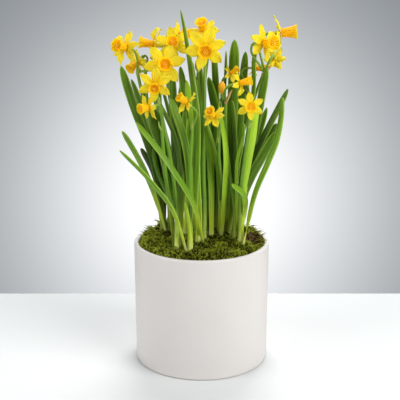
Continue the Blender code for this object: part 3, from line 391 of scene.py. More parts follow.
@dataclass
class Flower:
    """One flower or bud: where it sits, which way it looks, and how big it is.

    Attributes:
        name: its number.
        centre: the middle of its face, or a bud's foot.
        turn: compass turn from the front, in degrees.
        tilt: tilt up, in degrees.
        spread: width across its petals, or of a bud.
        length: length of its trumpet, or of a bud.
        opening: width of its trumpet's mouth.
        turned: turn of its petals about its axis, in degrees.
        mover: the number of its free depth.
    """

    name: str
    centre: Place
    turn: float
    tilt: float
    spread: float
    length: float
    opening: float
    turned: float
    mover: int

    def __post_init__(self) -> None:
        """Set out the flower's own frame and its lesser sizes."""
        self.centre = np.asarray(self.centre, float)
        self.axis = facing(self.turn, self.tilt)
        up = np.array((0.0, 0.0, 1.0))
        self.up = unit(up - self.axis * np.dot(up, self.axis))
        self.right = np.cross(self.up, self.axis)
        self.radius, self.mouth, self.roll = self.spread / 2.0, self.opening / 2.0, math.radians(self.turned)
        self.bud = self.name in BUDS
        self.tube = 0.0 if self.bud else TUBE_SHARE * self.radius
        self.ovary = BUD_OVARY if self.bud else OVARY_SHARE * self.radius
        self.ovary_radius = BUD_OVARY_RADIUS if self.bud else OVARY_RADIUS_SHARE * self.radius

    def place(self, x: float, y: float, z: float) -> np.ndarray:
        """Return the world place of a point in the flower's own frame."""
        return self.centre + self.right * x + self.up * y + self.axis * z

    def world(self, points: np.ndarray) -> np.ndarray:
        """Return the world places of points in the flower's own frame."""
        return self.centre + points @ np.stack((self.right, self.up, self.axis))

    def probes(self) -> list[tuple[float, float, float, float, float]]:
        """Choose points that stand for the flower's solid.

        Returns:
            For each, its own x, y and z, and its reach across and in depth.
        """
        if self.bud:
            wide = 0.5 * self.radius + 1.5
            return [(0.0, 0.0, share * self.length, wide, wide) for share in (0.0, 0.35, 0.7, 1.0)]
        found = []
        for petal in range(6):
            angle = self.roll + petal * math.pi / 3.0
            drop = -OUTER_WHORL_DROP if petal % 2 else 0.0
            for share, reach in ((0.36, 0.2), (0.62, 0.27), (0.86, 0.2)):
                radius = share * self.radius
                found.append((radius * math.cos(angle), radius * math.sin(angle), 0.5 * drop,
                              reach * self.radius, 1.8))
        for step in range(6):
            angle = step * math.pi / 3.0
            for share, radius in ((0.5, 0.55), (1.0, 0.8)):
                width = radius * self.mouth
                found.append((width * math.cos(angle), width * math.sin(angle), share * self.length,
                              0.12 * self.radius, 2.0))
        for share in (0.0, 0.5, 1.0):
            found.append((0.0, 0.0, -share * self.tube, 0.17 * self.radius, 0.17 * self.radius))
        return found


class Bouquet:
    """All leaves, stems and flowers, with their depths settled so that none crosses another."""

    def __init__(self) -> None:
        """Read the tables and settle the depths."""
        self.mover_count = 1
        self.flowers: dict[str, Flower] = {}
        self.leaves: list[Strand] = []
        self.stems: list[Strand] = []
        self.sheaths: list[Strand] = []
        self.forks: list[Strand] = []
        self.add_flowers()
        self.add_sheaths()
        self.add_leaves()
        self.add_stems()
        self.settle()

    def new_mover(self) -> int:
        """Return the number of a new free depth."""
        self.mover_count += 1
        return self.mover_count - 1

    def movers_for(self, stations: np.ndarray) -> list[int]:
        """Return a new free depth for each station above the sheath, and 0 for the rest."""
        return [0 if z < SHEATH_TOP + 4.0 else self.new_mover() for z in stations[:, 2]]

    def add_flowers(self) -> None:
        """Read the flowers and buds."""
        for name, sizes in BLOOMS.items():
            self.flowers[name] = Flower(name, *sizes, self.new_mover())
        for name, sizes in BUDS.items():
            self.flowers[name] = Flower(name, *sizes, 0, 0, self.new_mover())

    def add_sheaths(self) -> None:
        """Set out each shoot's sheath, from the bulb's top to above the moss."""
        for name, (x, y) in SHOOTS.items():
            foot = bulb_centre(name[0])
            start = (foot[0] + 0.25 * (x - foot[0]), foot[1] + 0.25 * (y - foot[1]), BULB_TOP + FIT_GAP)
            strand = Strand(name[0], np.array((start, (x, y, SHEATH_BEND), (x, y, SHEATH_TOP))), [0, 0, 0],
                            thickness=2.0 * SHEATH_RADIUS)
            strand.widths[:] = 2.0 * SHEATH_RADIUS
            self.sheaths.append(strand)

    def add_leaves(self) -> None:
        """Set out each leaf from inside its sheath to its tip."""
        shares, widths = zip(*LEAF_WIDTHS)
        for shoot, width, turn, twist, places in LEAVES:
            x, y = SHOOTS[shoot]
            lean = unit((places[0][0] - x, places[0][1] - y + 0.01))
            foot = np.array((x + LEAF_SPREAD * lean[0], y + LEAF_SPREAD * lean[1], LEAF_START))
            path = [foot]
            if places[0][2] > SHEATH_TOP + 14.0:
                start = places[0]
                path.append((foot[0] + 0.05 * (start[0] - x), foot[1] + 0.05 * (start[1] - y), SHEATH_TOP))
            path.extend(places)
            stations = smooth_path(path, LEAF_FRACTIONS)
            self.leaves.append(Strand(
                shoot[0], stations, self.movers_for(stations), thickness=LEAF_THICKNESS,
                widths=width * np.interp(LEAF_FRACTIONS, shares, widths),
                turns=np.radians(turn + twist * np.array(LEAF_FRACTIONS)),
            ))

    def add_stems(self) -> None:
        """Set out each scape to its fork, and from there a stalk to each flower."""
        for shoot, radius, places, names in SCAPES:
            x, y = SHOOTS[shoot]
            foot = (x - 1.0, y + 0.8, LEAF_START + 2.0)
            path = [foot, (x + 0.06 * (places[0][0] - x), y + 0.06 * (places[0][1] - y), SHEATH_TOP + 2.0)]
            path.extend(places)
            fractions = np.linspace(0.0, 1.0, SCAPE_STATIONS)
            stations = smooth_path(path, fractions)
            scape = Strand(shoot[0], stations, self.movers_for(stations), thickness=2.0 * radius,
                           widths=2.0 * np.interp(fractions, (0.0, 1.0), (radius, SCAPE_TOP_RADIUS)))
            self.stems.append(scape)
            self.forks.append(scape)
            for name in names:
                self.add_stalk(scape, self.flowers[name])

    def add_stalk(self, scape: Strand, flower: Flower) -> None:
        """Set out the stalk from a fork to one flower; it swells to the ovary at its end.

        Args:
            scape: the stem that it leaves.
            flower: the flower that it carries.
        """
        fork = scape.stations[-1]
        end = flower.centre - flower.axis * (flower.tube + FIT_GAP)
        foot = end - flower.axis * flower.ovary
        bend = foot - flower.axis * 4.0
        bend[2] -= 0.3 * flower.ovary if flower.axis[2] < 0.5 else 0.0
        if bend[2] < fork[2] + 3.0:
            bend = 0.5 * (bend + fork) - flower.axis * 2.0
            bend[2] = max(bend[2], fork[2] + 2.0)
        stations = list(smooth_path((fork, bend, foot), STALK_FRACTIONS))
        stations += [end - flower.axis * 0.6 * flower.ovary, end]
        movers = [scape.movers[-1], self.new_mover(), self.new_mover()] + [flower.mover] * 3
        swell = flower.ovary_radius
        self.stems.append(Strand(
            scape.plant, np.array(stations), movers, own=flower.name, thickness=2.0 * STALK_RADIUS,
            widths=2.0 * np.array([STALK_RADIUS] * 4 + [swell, 0.72 * swell]),
        ))

    def samples(self) -> np.ndarray:
        """Sample every strand and flower.

        Returns:
            For each sample, its place, its two movers and its share between them, its reach across
            and in depth, and the numbers of its strand, its plant and its own flower.
        """
        rows = []
        for number, strand in enumerate(self.leaves + self.stems + self.sheaths):
            flat = number < len(self.leaves)
            plant = ord(strand.plant)
            own = plant if strand.own is None else int(strand.own) + FLOWER_MARK
            for k in range(len(strand.stations) - 1):
                start, end = strand.stations[k], strand.stations[k + 1]
                count = max(2, int(np.linalg.norm(end - start) / SAMPLE_STEP))
                for step in range(count):
                    share = step / count
                    width = strand.widths[k] * (1.0 - share) + strand.widths[k + 1] * share
                    turn = strand.turns[k] * (1.0 - share) + strand.turns[k + 1] * share
                    across = 0.5 * width * (abs(math.cos(turn)) if flat else 1.0) + 0.7
                    deep = 0.5 * width
                    if flat:
                        deep = 0.5 * width * abs(math.sin(turn)) + 0.5 * strand.thickness
                    rows.append((*(start + (end - start) * share), strand.movers[k], strand.movers[k + 1],
                                 share, across, deep, number, plant, own))
        for flower in self.flowers.values():
            sight = unit(flower.centre - EYE)
            edge = math.sqrt(max(0.0, 1.0 - np.dot(sight, flower.axis) ** 2))
            mark = FLOWER_MARK + int(flower.name)
            for x, y, z, reach, depth in flower.probes():
                rows.append((*flower.place(x, y, z), flower.mover, flower.mover, 0.0, reach,
                             max(depth, reach * edge), mark, mark, mark))
        return np.array(rows)

    def settle(self) -> None:
        """Slide points along the lines of sight until crossing strands clear each other."""
        rows = self.samples()
        offset = rows[:, :3] - EYE
        depth = np.linalg.norm(offset, axis=1)
        sight = offset / depth[:, None]
        mover_a, mover_b = rows[:, 3].astype(int), rows[:, 4].astype(int)
        share, across, deep = rows[:, 5], rows[:, 6], rows[:, 7]
        number, plant, own = rows[:, 8].astype(int), rows[:, 9].astype(int), rows[:, 10].astype(int)
        first, second = [], []
        for i in range(len(rows) - 1):
            others = np.arange(i + 1, len(rows))
            near = np.linalg.norm(sight[others] - sight[i], axis=1) * depth[i] < across[others] + across[i]
            near &= (plant[others] != plant[i]) & (own[others] != own[i])
            hits = others[near]
            first.extend([i] * len(hits))
            second.extend(hits)
        first, second = np.array(first), np.array(second)
        gap = depth[first] - depth[second]
        side = np.sign(gap)
        key = number[first] * PAIR_MARK + number[second]
        for pair in np.unique(key):
            close = (key == pair) & (np.abs(gap) < NEAR_DEPTH)
            if close.any():
                side[close] = 1.0 if gap[close].mean() >= 0.0 else -1.0
        need = deep[first] + deep[second] + CLEARANCE
        shift = np.zeros(self.mover_count)
        for _ in range(SETTLE_ROUNDS):
            moved = depth + shift[mover_a] * (1.0 - share) + shift[mover_b] * share
            short = np.clip(need - side * (moved[first] - moved[second]), 0.0, LONGEST_PUSH)
            push = np.zeros(len(rows))
            hits = np.zeros(len(rows))
            np.add.at(push, first, side * short)
            np.add.at(push, second, -side * short)
            np.add.at(hits, first, short > 0.0)
            np.add.at(hits, second, short > 0.0)
            push /= np.maximum(hits, 1.0)
            change = np.zeros(self.mover_count)
            weight = np.zeros(self.mover_count)
            active = (hits > 0.0).astype(float)
            np.add.at(change, mover_a, push * (1.0 - share))
            np.add.at(change, mover_b, push * share)
            np.add.at(weight, mover_a, active * (1.0 - share))
            np.add.at(weight, mover_b, active * share)
            shift += SETTLE_SHARE * change / np.maximum(weight, 1.0)
            shift[0] = 0.0
            self.ease(shift)
        self.apply(shift)

    def ease(self, shift: np.ndarray) -> None:
        """Spread each strand's change of depth a little along its length.

        Args:
            shift: the change of depth of each mover.
        """
        for strand in self.leaves + self.stems:
            movers = strand.movers
            values = shift[movers]
            for k in range(1, len(movers) - 1):
                if movers[k] and movers[k] >= len(self.flowers) + 1:
                    shift[movers[k]] = EASE_KEPT * values[k] + EASE_SPREAD * (values[k - 1] + values[k + 1])

    def apply(self, shift: np.ndarray) -> None:
        """Move every station and flower by its settled change of depth.

        Args:
            shift: the change of depth of each mover.
        """
        flowers = self.flowers.values()
        slides = {flower.mover: unit(flower.centre - EYE) * shift[flower.mover] for flower in flowers}
        for strand in self.leaves + self.stems:
            for k, mover in enumerate(strand.movers):
                strand.stations[k] += slides.get(mover, unit(strand.stations[k] - EYE) * shift[mover])
        for flower in flowers:
            flower.centre = flower.centre + slides[flower.mover]


def bulb_centre(plant: str) -> tuple[float, ...]:
    """Return the middle of a plant's shoots, where its bulb sits."""
    spots = [spot for name, spot in SHOOTS.items() if name[0] == plant]
    return tuple(sum(values) / len(spots) for values in zip(*spots))


def plant_letters() -> list[str]:
    """Return the plants' letters in order."""
    return sorted({name[0] for name in SHOOTS})


def moss_height(x: float, y: float) -> float:
    """Shape the top of the moss: a low dome with cushions on it.

    Args:
        x: the place, from left to right.
        y: the place, from front to back.

    Returns:
        Its height over the place.
    """
    reach = (x * x + y * y) / (POT_RIM_RADIUS - POT_WALL) ** 2
    height = MOSS_EDGE_HEIGHT + MOSS_CROWN * (1.0 - reach)
    for cx, cy, radius, rise in MOSS_CUSHIONS:
        height += rise * math.exp(-((x - cx) ** 2 + (y - cy) ** 2) / (0.5 * radius * radius))
    return height + 0.8 * math.sin(0.31 * x + 1.0) * math.sin(0.27 * y) - 0.5 * math.cos(0.5 * x - 0.4 * y)


# Node trees and finishes


def linear(code: str) -> Colour:
    """Turn an sRGB hex colour such as #5c7e2a into linear light."""
    channels = [int(code[k:k + 2], 16) / 255.0 for k in (1, 3, 5)]
    return tuple(c / 12.92 if c <= 0.04045 else ((c + 0.055) / 1.055) ** 2.4 for c in channels)


def add_node(tree: bpy.types.NodeTree, kind: str, settings: Mapping[str, Any] | None = None,
             inputs: Mapping[int | str, Any] | None = None) -> bpy.types.NodeOutputs:
    """Add a node with its settings, its constants and the links into it.

    Args:
        tree: the tree that it joins.
        kind: its type.
        settings: values for its own properties.
        inputs: for each input, a constant, a hex colour, or the output socket or list of them that feeds it.

    Returns:
        Its outputs.
    """
    node = tree.nodes.new(kind)
    for key, value in (settings or {}).items():
        setattr(node, key, value)
    for key, value in (inputs or {}).items():
        if isinstance(value, (bpy.types.NodeSocket, list)):
            for source in value if isinstance(value, list) else [value]:
                tree.links.new(source, node.inputs[key])
        elif isinstance(value, str) and value.startswith("#"):
            node.inputs[key].default_value = (*linear(value), 1.0)
        else:
            node.inputs[key].default_value = value
    return node.outputs


@dataclass(frozen=True)
class Coat:
    """A colour laid over those below it, as far as a pattern says.

    Attributes:
        pattern: the socket that says where it lies.
        colour: its hex code, or the socket of a colour.
        span: the pattern's values where the coat starts to change and where it stops.
        shown: how much of the coat shows at each of those.
        thinned: a socket whose value thins it further.
        smooth: whether it changes on a smooth curve.
    """

    pattern: bpy.types.NodeSocket
    colour: str | bpy.types.NodeSocket
    span: tuple[float, float] = (0.0, 1.0)
    shown: tuple[float, float] = (0.0, 1.0)
    thinned: bpy.types.NodeSocket | None = None
    smooth: bool = False


@dataclass(frozen=True)
class Look:
    """What a finish draws.

    Attributes:
        base: hex code of the lowest colour.
        coats: the colours over it, from the lowest up.
        relief: the socket of a height pattern from 0 to 1.
        depth: how far the relief rises, in metres.
        strength: how much of it shows.
    """

    base: str
    coats: Sequence[Coat]
    relief: bpy.types.NodeSocket | None = None
    depth: float = 0.0
    strength: float = 1.0


@dataclass(frozen=True)
class Finish(ABC):
    """A surface: its name, its gloss, and the look that it draws.

    Attributes:
        name: what the surface is.
        roughness: from 0, polished, to 1, dead matt.
        ior: index of refraction.
        body_light: share of the light that goes through the skin and out again.
        light_depth: how deep that light goes, in metres.
        light_reach: how far each of its colours goes, as shares of that depth.
        shine: strength of the reflection.
    """

    name: str
    roughness: float = 0.5
    ior: float = 1.45
    body_light: float = 0.0
    light_depth: float = 0.001
    light_reach: Colour = (1.0, 0.8, 0.25)
    shine: float = 0.5

    def material(self) -> bpy.types.Material:
        """Make the material, or find it if it is made.

        Returns:
            The material.
        """
        made = bpy.data.materials.get(self.name)
        if made is None:
            made = bpy.data.materials.new(self.name)
            made.use_nodes = True
            shader = made.node_tree.nodes["Principled BSDF"]
            values = {"Roughness": self.roughness, "IOR": self.ior, "Specular IOR Level": self.shine,
                      "Subsurface Weight": self.body_light, "Subsurface Scale": self.light_depth,
                      "Subsurface Radius": self.light_reach}
            for socket, value in values.items():
                shader.inputs[socket].default_value = value
            self.lay(made.node_tree, shader, self.draw(partial(add_node, made.node_tree)))
        return made

    @staticmethod
    def lay(tree: bpy.types.NodeTree, shader: bpy.types.Node, look: Look) -> None:
        """Lay a look's coats one over another, and its relief.

        Args:
            tree: the material's tree.
            shader: the node that takes the colour and the relief.
            look: what the finish draws.
        """
        colour = look.base
        for coat in look.coats:
            (low, high), (least, most) = coat.span, coat.shown
            share = add_node(tree, "ShaderNodeMapRange",
                             {"interpolation_type": "SMOOTHSTEP" if coat.smooth else "LINEAR"},
                             {"Value": coat.pattern, "From Min": low, "From Max": high, "To Min": least,
                              "To Max": most})[0]
            if coat.thinned is not None:
                share = add_node(tree, "ShaderNodeMath", {"operation": "MULTIPLY"},
                                 {0: share, 1: coat.thinned})[0]
            colour = add_node(tree, "ShaderNodeMix", {"data_type": "RGBA"},
                              {MIX_FACTOR: share, MIX_FROM: colour, MIX_TO: coat.colour})[MIX_RESULT]
        tree.links.new(colour, shader.inputs["Base Color"])
        if look.relief is not None:
            bump = add_node(tree, "ShaderNodeBump", inputs={"Height": look.relief, "Distance": look.depth,
                                                            "Strength": look.strength})
            tree.links.new(bump["Normal"], shader.inputs["Normal"])

    @abstractmethod
    def draw(self, node: NodeMaker) -> Look:
        """Add the nodes of the surface's patterns.

        Args:
            node: adds a node to the finish's tree.

        Returns:
            The finish's look.
        """


@dataclass(frozen=True)
class StonewareFinish(Finish):
    """Slip-cast stoneware under a matt white glaze: dead even, with a faint orange peel."""

    colour: str = "#dbd5d1"
    cool_patch: str = "#d6d0cc"
    # Colour of the painted shadow line at the foot
    painted_foot_shadow: str = "#bdb6ae"

    def draw(self, node: NodeMaker) -> Look:
        """Draw cloudy glaze, a painted shadow line at the foot and fine peel.

        Args:
            node: adds a node to the finish's tree.

        Returns:
            The finish's look.
        """
        place = node("ShaderNodeTexCoord")["Object"]
        height = node("ShaderNodeSeparateXYZ", inputs={0: place})["Z"]
        # Clouds in the glaze about 45 mm across
        cloud = node("ShaderNodeTexNoise", inputs={"Vector": place, "Scale": 22.0, "Detail": 2.0})
        # Peel about 1.5 mm across, finer on the real glaze
        peel = node("ShaderNodeTexNoise", inputs={"Vector": place, "Scale": 650.0, "Detail": 2.0})
        # The lowest 2 mm are painted darker: a painted shadow line at the foot
        coats = (Coat(cloud["Fac"], self.cool_patch),
                 Coat(height, self.painted_foot_shadow, (0.0004, 0.0022), (1.0, 0.0)))
        return Look(self.colour, coats, peel["Fac"], 0.00006, 0.5)


@dataclass(frozen=True)
class SoilFinish(Finish):
    """Peat potting soil: dark moist crumbs 2 to 4 mm across, with paler fibres."""

    dark_brown: str = "#1f150d"
    crumb: str = "#4a3524"
    fibre: str = "#7a5f45"

    def draw(self, node: NodeMaker) -> Look:
        """Draw crumbs and scattered pale fibres.

        Args:
            node: adds a node to the finish's tree.

        Returns:
            The finish's look.
        """
        place = node("ShaderNodeTexCoord")["Object"]
        crumbs = node("ShaderNodeTexVoronoi", inputs={"Vector": place, "Scale": 330.0})
        grain = node("ShaderNodeTexNoise", inputs={"Vector": place, "Scale": 700.0, "Detail": 5.0})
        coats = (Coat(crumbs["Distance"], self.crumb), Coat(grain["Fac"], self.fibre, (0.62, 0.75)))
        return Look(self.dark_brown, coats, crumbs["Distance"], 0.0015)


@dataclass(frozen=True)
class BulbSkinFinish(Finish):
    """The dry papery tunic of a bulb: chestnut brown with long darker streaks."""

    pale: str = "#a9743e"
    dark: str = "#54331a"

    def draw(self, node: NodeMaker) -> Look:
        """Draw streaks about 1.5 mm apart that run from foot to neck.

        Args:
            node: adds a node to the finish's tree.

        Returns:
            The finish's look.
        """
        place = node("ShaderNodeTexCoord")["Object"]
        drawn = node("ShaderNodeMapping", inputs={"Vector": place, "Scale": (650.0, 650.0, 45.0)})
        streak = node("ShaderNodeTexNoise", inputs={"Vector": drawn[0], "Scale": 1.0, "Detail": 3.0})["Fac"]
        return Look(self.pale, (Coat(streak, self.dark, (0.35, 0.68)),), streak, 0.0003)


@dataclass(frozen=True)
class MossFinish(Finish):
    """Live cushion moss: olive sprigs with bright tips, brown where it has dried.

    Attributes:
        deep: painted shade colour in the gaps between cushions and at the roots of the sprigs.
        body: colour of most of the sprigs.
        tip: colour at the ends of the youngest leaflets.
        lush: colour of a cushion of brighter growth.
        dry: colour of the dried patch.
        dry_tip: colour of the crumbs in it.
        dark_brown: colour of the dark brown patch.
        root_share: how green a sprig is at its root, below which the deep colour shows as painted shade.
        lush_patch: middle and radius of the brighter cushion in metres, and how much of it shows.
        dry_patch: the same of the dried patch.
        dark_brown_patch: the same of the dark brown patch.
    """

    # Painted shade colour in the gaps between cushions and at the sprigs' roots
    deep: str = "#2f3306"
    body: str = "#66740f"
    tip: str = "#c4cf42"
    lush: str = "#b2bb30"
    dry: str = "#23150d"
    dry_tip: str = "#a58058"
    # Colour of a dark brown patch in the moss
    dark_brown: str = "#241b0c"
    root_share: float = 0.3
    lush_patch: tuple[Place, float, float] = ((-0.061, -0.002, 0.150), 0.030, 0.75)
    dry_patch: tuple[Place, float, float] = ((0.057, -0.002, 0.150), 0.024, 0.9)
    dark_brown_patch: tuple[Place, float, float] = ((-0.041, 0.004, 0.152), 0.016, 0.8)

    def draw(self, node: NodeMaker) -> Look:
        """Draw cushions of brighter growth, painted shade in the gaps and the dried patch.

        Args:
            node: adds a node to the finish's tree.

        Returns:
            The finish's look.
        """
        place = node("ShaderNodeTexCoord")["Object"]
        tone = node("ShaderNodeAttribute", {"attribute_name": "tone"})["Fac"]
        tip = node("ShaderNodeAttribute", {"attribute_name": "tip"})["Fac"]
        # Cushions about 25 mm across, and tufts of 5 mm within them
        cushion = node("ShaderNodeTexNoise", inputs={"Vector": place, "Scale": 42.0, "Detail": 2.0})
        tuft = node("ShaderNodeTexNoise", inputs={"Vector": place, "Scale": 210.0, "Detail": 3.0})
        rooted = node("ShaderNodeMapRange", inputs={"Value": tip, "To Min": self.root_share})
        # Each sprig is brightest at its leaflets' tips
        youth = node("ShaderNodeMapRange", inputs={"Value": tone, "To Min": 0.3})
        bright = node("ShaderNodeMath", {"operation": "MULTIPLY"}, {0: youth[0], 1: tip})[0]
        crumbled = node("ShaderNodeMix", {"data_type": "RGBA"},
                        {MIX_FACTOR: bright, MIX_FROM: self.dry, MIX_TO: self.dry_tip})[MIX_RESULT]
        patches = []
        for colour, (middle, reach, most) in ((self.lush, self.lush_patch), (crumbled, self.dry_patch),
                                              (self.dark_brown, self.dark_brown_patch)):
            apart = node("ShaderNodeVectorMath", {"operation": "DISTANCE"}, {0: place, 1: middle})
            patches.append(Coat(apart["Value"], colour, (0.45 * reach, reach), (most, 0.0), smooth=True))
        # The body colour lies on the cushions; between them and at the sprigs' roots the deep colour shows as
        # painted shade
        coats = (Coat(cushion["Fac"], self.body, (0.36, 0.6), thinned=rooted[0]), patches[0],
                 Coat(bright, self.tip, (0.12, 0.8)), *patches[1:])
        return Look(self.deep, coats, tuft["Fac"], 0.0012)


@dataclass(frozen=True)
class LeafFinish(Finish):
    """A daffodil's strap leaf: waxy mid green with fine lengthwise veins, blanched at its foot.

    Attributes:
        shade: painted shade colour of the darkest leaves at the back of the clump, also drawn in the veins.
        green: colour of most leaves.
        fresh: colour of the youngest leaves.
        foot: yellow-green colour near the moss.
        bare: blanched colour where the leaf leaves the moss.
        edge: painted highlight colour along the rim of the blade.
        vein_spacing: gap between veins in millimetres, about three times the real one so that it shows.
    """

    shade: str = "#0a2900"
    green: str = "#65a00c"
    fresh: str = "#b6dc38"
    foot: str = "#c4d238"
    bare: str = "#e6e9ac"
    edge: str = "#a8c850"
    vein_spacing: float = 1.5

    def draw(self, node: NodeMaker) -> Look:
        """Draw tone by leaf, partly painted shade that lifts with height, the blanched foot, veins and a
        painted highlight along the rim.

        Args:
            node: adds a node to the finish's tree.

        Returns:
            The finish's look.
        """
        strap = node("ShaderNodeUVMap", {"uv_map": "strap"})["UV"]
        across = node("ShaderNodeSeparateXYZ", inputs={0: strap})["X"]
        leaf_tone = node("ShaderNodeAttribute", {"attribute_name": "tone"})["Fac"]
        rim = node("ShaderNodeAttribute", {"attribute_name": "rim"})["Fac"]
        place = node("ShaderNodeTexCoord")["Object"]
        height = node("ShaderNodeSeparateXYZ", inputs={0: place})["Z"]
        # The painted shade on the darkest blades lifts over 110 mm as they come out of the clump
        painted_shade_lift = node("ShaderNodeMapRange", inputs={"Value": height, "From Min": 0.25, "From Max": 0.36,
                                                  "To Max": 0.42})
        tone = node("ShaderNodeMath", {"operation": "MAXIMUM"}, {0: leaf_tone, 1: painted_shade_lift[0]})[0]
        # How far a blade stands out of its painted shade; the fresh streaks, the rim and the foot thin with
        # it
        lit = node("ShaderNodeMapRange", inputs={"Value": tone, "From Max": 0.6, "To Min": 0.15,
                                                 "To Max": 0.85})[0]
        # Broad streaks of lighter and darker green, about 4 mm wide and 60 mm long
        drawn = node("ShaderNodeMapping", inputs={"Vector": strap, "Scale": (0.25, 0.016, 1.0)})
        streak = node("ShaderNodeTexNoise", inputs={"Vector": drawn[0], "Scale": 1.0, "Detail": 2.0})
        # Veins, as a soft wave across the strap
        angle = node("ShaderNodeMath", {"operation": "MULTIPLY"},
                     {0: across, 1: 2.0 * math.pi / self.vein_spacing})
        wave = node("ShaderNodeMath", {"operation": "SINE"}, {0: angle[0]})
        vein = node("ShaderNodeMapRange", inputs={"Value": wave[0], "From Min": -1.0})[0]
        # The base colour is painted shade, and the tone mixes it through green to fresh
        coats = (
            Coat(tone, self.green),
            Coat(tone, self.fresh, (0.6, 1.0)),
            Coat(streak["Fac"], self.fresh, (0.3, 0.75), (0.0, 0.62), lit),
            Coat(vein, self.shade, shown=(0.0, 0.16)),
            # A painted highlight along the rim of the blade
            Coat(rim, self.edge, (0.62, 1.0), thinned=lit),
            # The foot is yellower for about 60 mm above the moss, and blanched for the lowest 15 mm
            Coat(height, self.foot, (0.158, 0.225), (0.95, 0.0), lit, True),
            Coat(height, self.bare, (0.148, 0.172), (0.6, 0.0), lit, True),
        )
        return Look(self.shade, coats, vein, 0.00012, 0.7)


@dataclass(frozen=True)
class StemFinish(Finish):
    """A scape: smooth juicy green, paler at the foot and yellower below the flowers."""

    foot: str = "#a9bd4c"
    green: str = "#679220"
    top: str = "#7f9f30"

    def draw(self, node: NodeMaker) -> Look:
        """Draw the change of colour up the stem and faint lengthwise lines.

        Args:
            node: adds a node to the finish's tree.

        Returns:
            The finish's look.
        """
        place = node("ShaderNodeTexCoord")["Object"]
        height = node("ShaderNodeSeparateXYZ", inputs={0: place})["Z"]
        # Lines about 0.8 mm apart that run up the stem
        drawn = node("ShaderNodeMapping", inputs={"Vector": place, "Scale": (1200.0, 1200.0, 25.0)})
        line = node("ShaderNodeTexNoise", inputs={"Vector": drawn[0], "Scale": 1.0})
        coats = (Coat(height, self.green, (0.150, 0.215), smooth=True), Coat(height, self.top, (0.28, 0.37)))
        return Look(self.foot, coats, line["Fac"], 0.0002)


@dataclass(frozen=True)
class TepalFinish(Finish):
    """A daffodil petal: silky clear yellow, deeper at its foot, with fine ribs to its tip.

    Attributes:
        face: colour of the open petal.
        glow: lighter colour between the ribs, a painted silky sheen.
        heart: deeper colour near the trumpet.
        tube: green-yellow colour of the floral tube behind.
        rib_count: ribs across the petal.
    """

    face: str = "#ecd10f"
    glow: str = "#f0e158"
    heart: str = "#f1c806"
    tube: str = "#b9bb3c"
    rib_count: float = 5.0

    def draw(self, node: NodeMaker) -> Look:
        """Draw ribs across the petal with a painted silky sheen, and the change of colour along it.

        Args:
            node: adds a node to the finish's tree.

        Returns:
            The finish's look.
        """
        flat = node("ShaderNodeUVMap", {"uv_map": "petal"})["UV"]
        across = node("ShaderNodeSeparateXYZ", inputs={0: flat})["X"]
        reach = node("ShaderNodeAttribute", {"attribute_name": "reach"})["Fac"]
        angle = node("ShaderNodeMath", {"operation": "MULTIPLY"},
                     {0: across, 1: 2.0 * math.pi * self.rib_count})
        wave = node("ShaderNodeMath", {"operation": "COSINE"}, {0: angle[0]})
        rib = node("ShaderNodeMapRange", inputs={"Value": wave[0], "From Min": -1.0})[0]
        # Fine streaks about 1 mm wide and 8 mm long: painted sheen for the silk of the real petal
        drawn = node("ShaderNodeMapping", inputs={"Vector": flat, "Scale": (14.0, 2.2, 1.0)})
        silk = node("ShaderNodeTexNoise", inputs={"Vector": drawn[0], "Scale": 1.0, "Detail": 3.0})
        # Lighter silky streaks by the ribs: painted sheen
        coats = (Coat(rib, self.glow, thinned=silk["Fac"]),
                 Coat(reach, self.heart, (0.15, 0.6), (0.85, 0.0), smooth=True),
                 Coat(reach, self.tube, (-1.0, 0.0), (1.0, 0.0)))
        return Look(self.face, coats, rib, 0.00025, 0.8)


@dataclass(frozen=True)
class TrumpetFinish(Finish):
    """A daffodil's trumpet: saturated orange-yellow, deep at its frilled mouth, with painted light that
    brightens its throat.
    """

    wall: str = "#ffb208"
    mouth: str = "#ffbc12"
    throat: str = "#ffbe10"

    def draw(self, node: NodeMaker) -> Look:
        """Draw fine folds round the trumpet and the change of colour to its throat, painted light inside the
        hollow.

        Args:
            node: adds a node to the finish's tree.

        Returns:
            The finish's look.
        """
        flat = node("ShaderNodeUVMap", {"uv_map": "petal"})["UV"]
        reach = node("ShaderNodeAttribute", {"attribute_name": "reach"})["Fac"]
        # Folds about 1 mm wide that run to the mouth
        drawn = node("ShaderNodeMapping", inputs={"Vector": flat, "Scale": (46.0, 1.6, 1.0)})
        fold = node("ShaderNodeTexNoise", inputs={"Vector": drawn[0], "Scale": 1.0, "Detail": 2.0})["Fac"]
        # The throat is painted lighter towards the floor of the hollow: painted light
        coats = (Coat(fold, self.mouth), Coat(reach, self.throat, (1.25, 2.0), (0.0, 0.7), smooth=True))
        return Look(self.wall, coats, fold, 0.0003, 0.6)


@dataclass(frozen=True)
class PollenFinish(Finish):
    """Stamens: pale filaments and style, with mealy yellow anthers."""

    filament: str = "#ecd84e"
    pollen: str = "#f6c01e"

    def draw(self, node: NodeMaker) -> Look:
        """Draw pollen where the attribute says, with grains drawn coarse at 0.4 mm.

        Args:
            node: adds a node to the finish's tree.

        Returns:
            The finish's look.
        """
        pollen = node("ShaderNodeAttribute", {"attribute_name": "pollen"})["Fac"]
        place = node("ShaderNodeTexCoord")["Object"]
        grain = node("ShaderNodeTexNoise", inputs={"Vector": place, "Scale": 2500.0})
        return Look(self.filament, (Coat(pollen, self.pollen),), grain["Fac"], 0.0002)


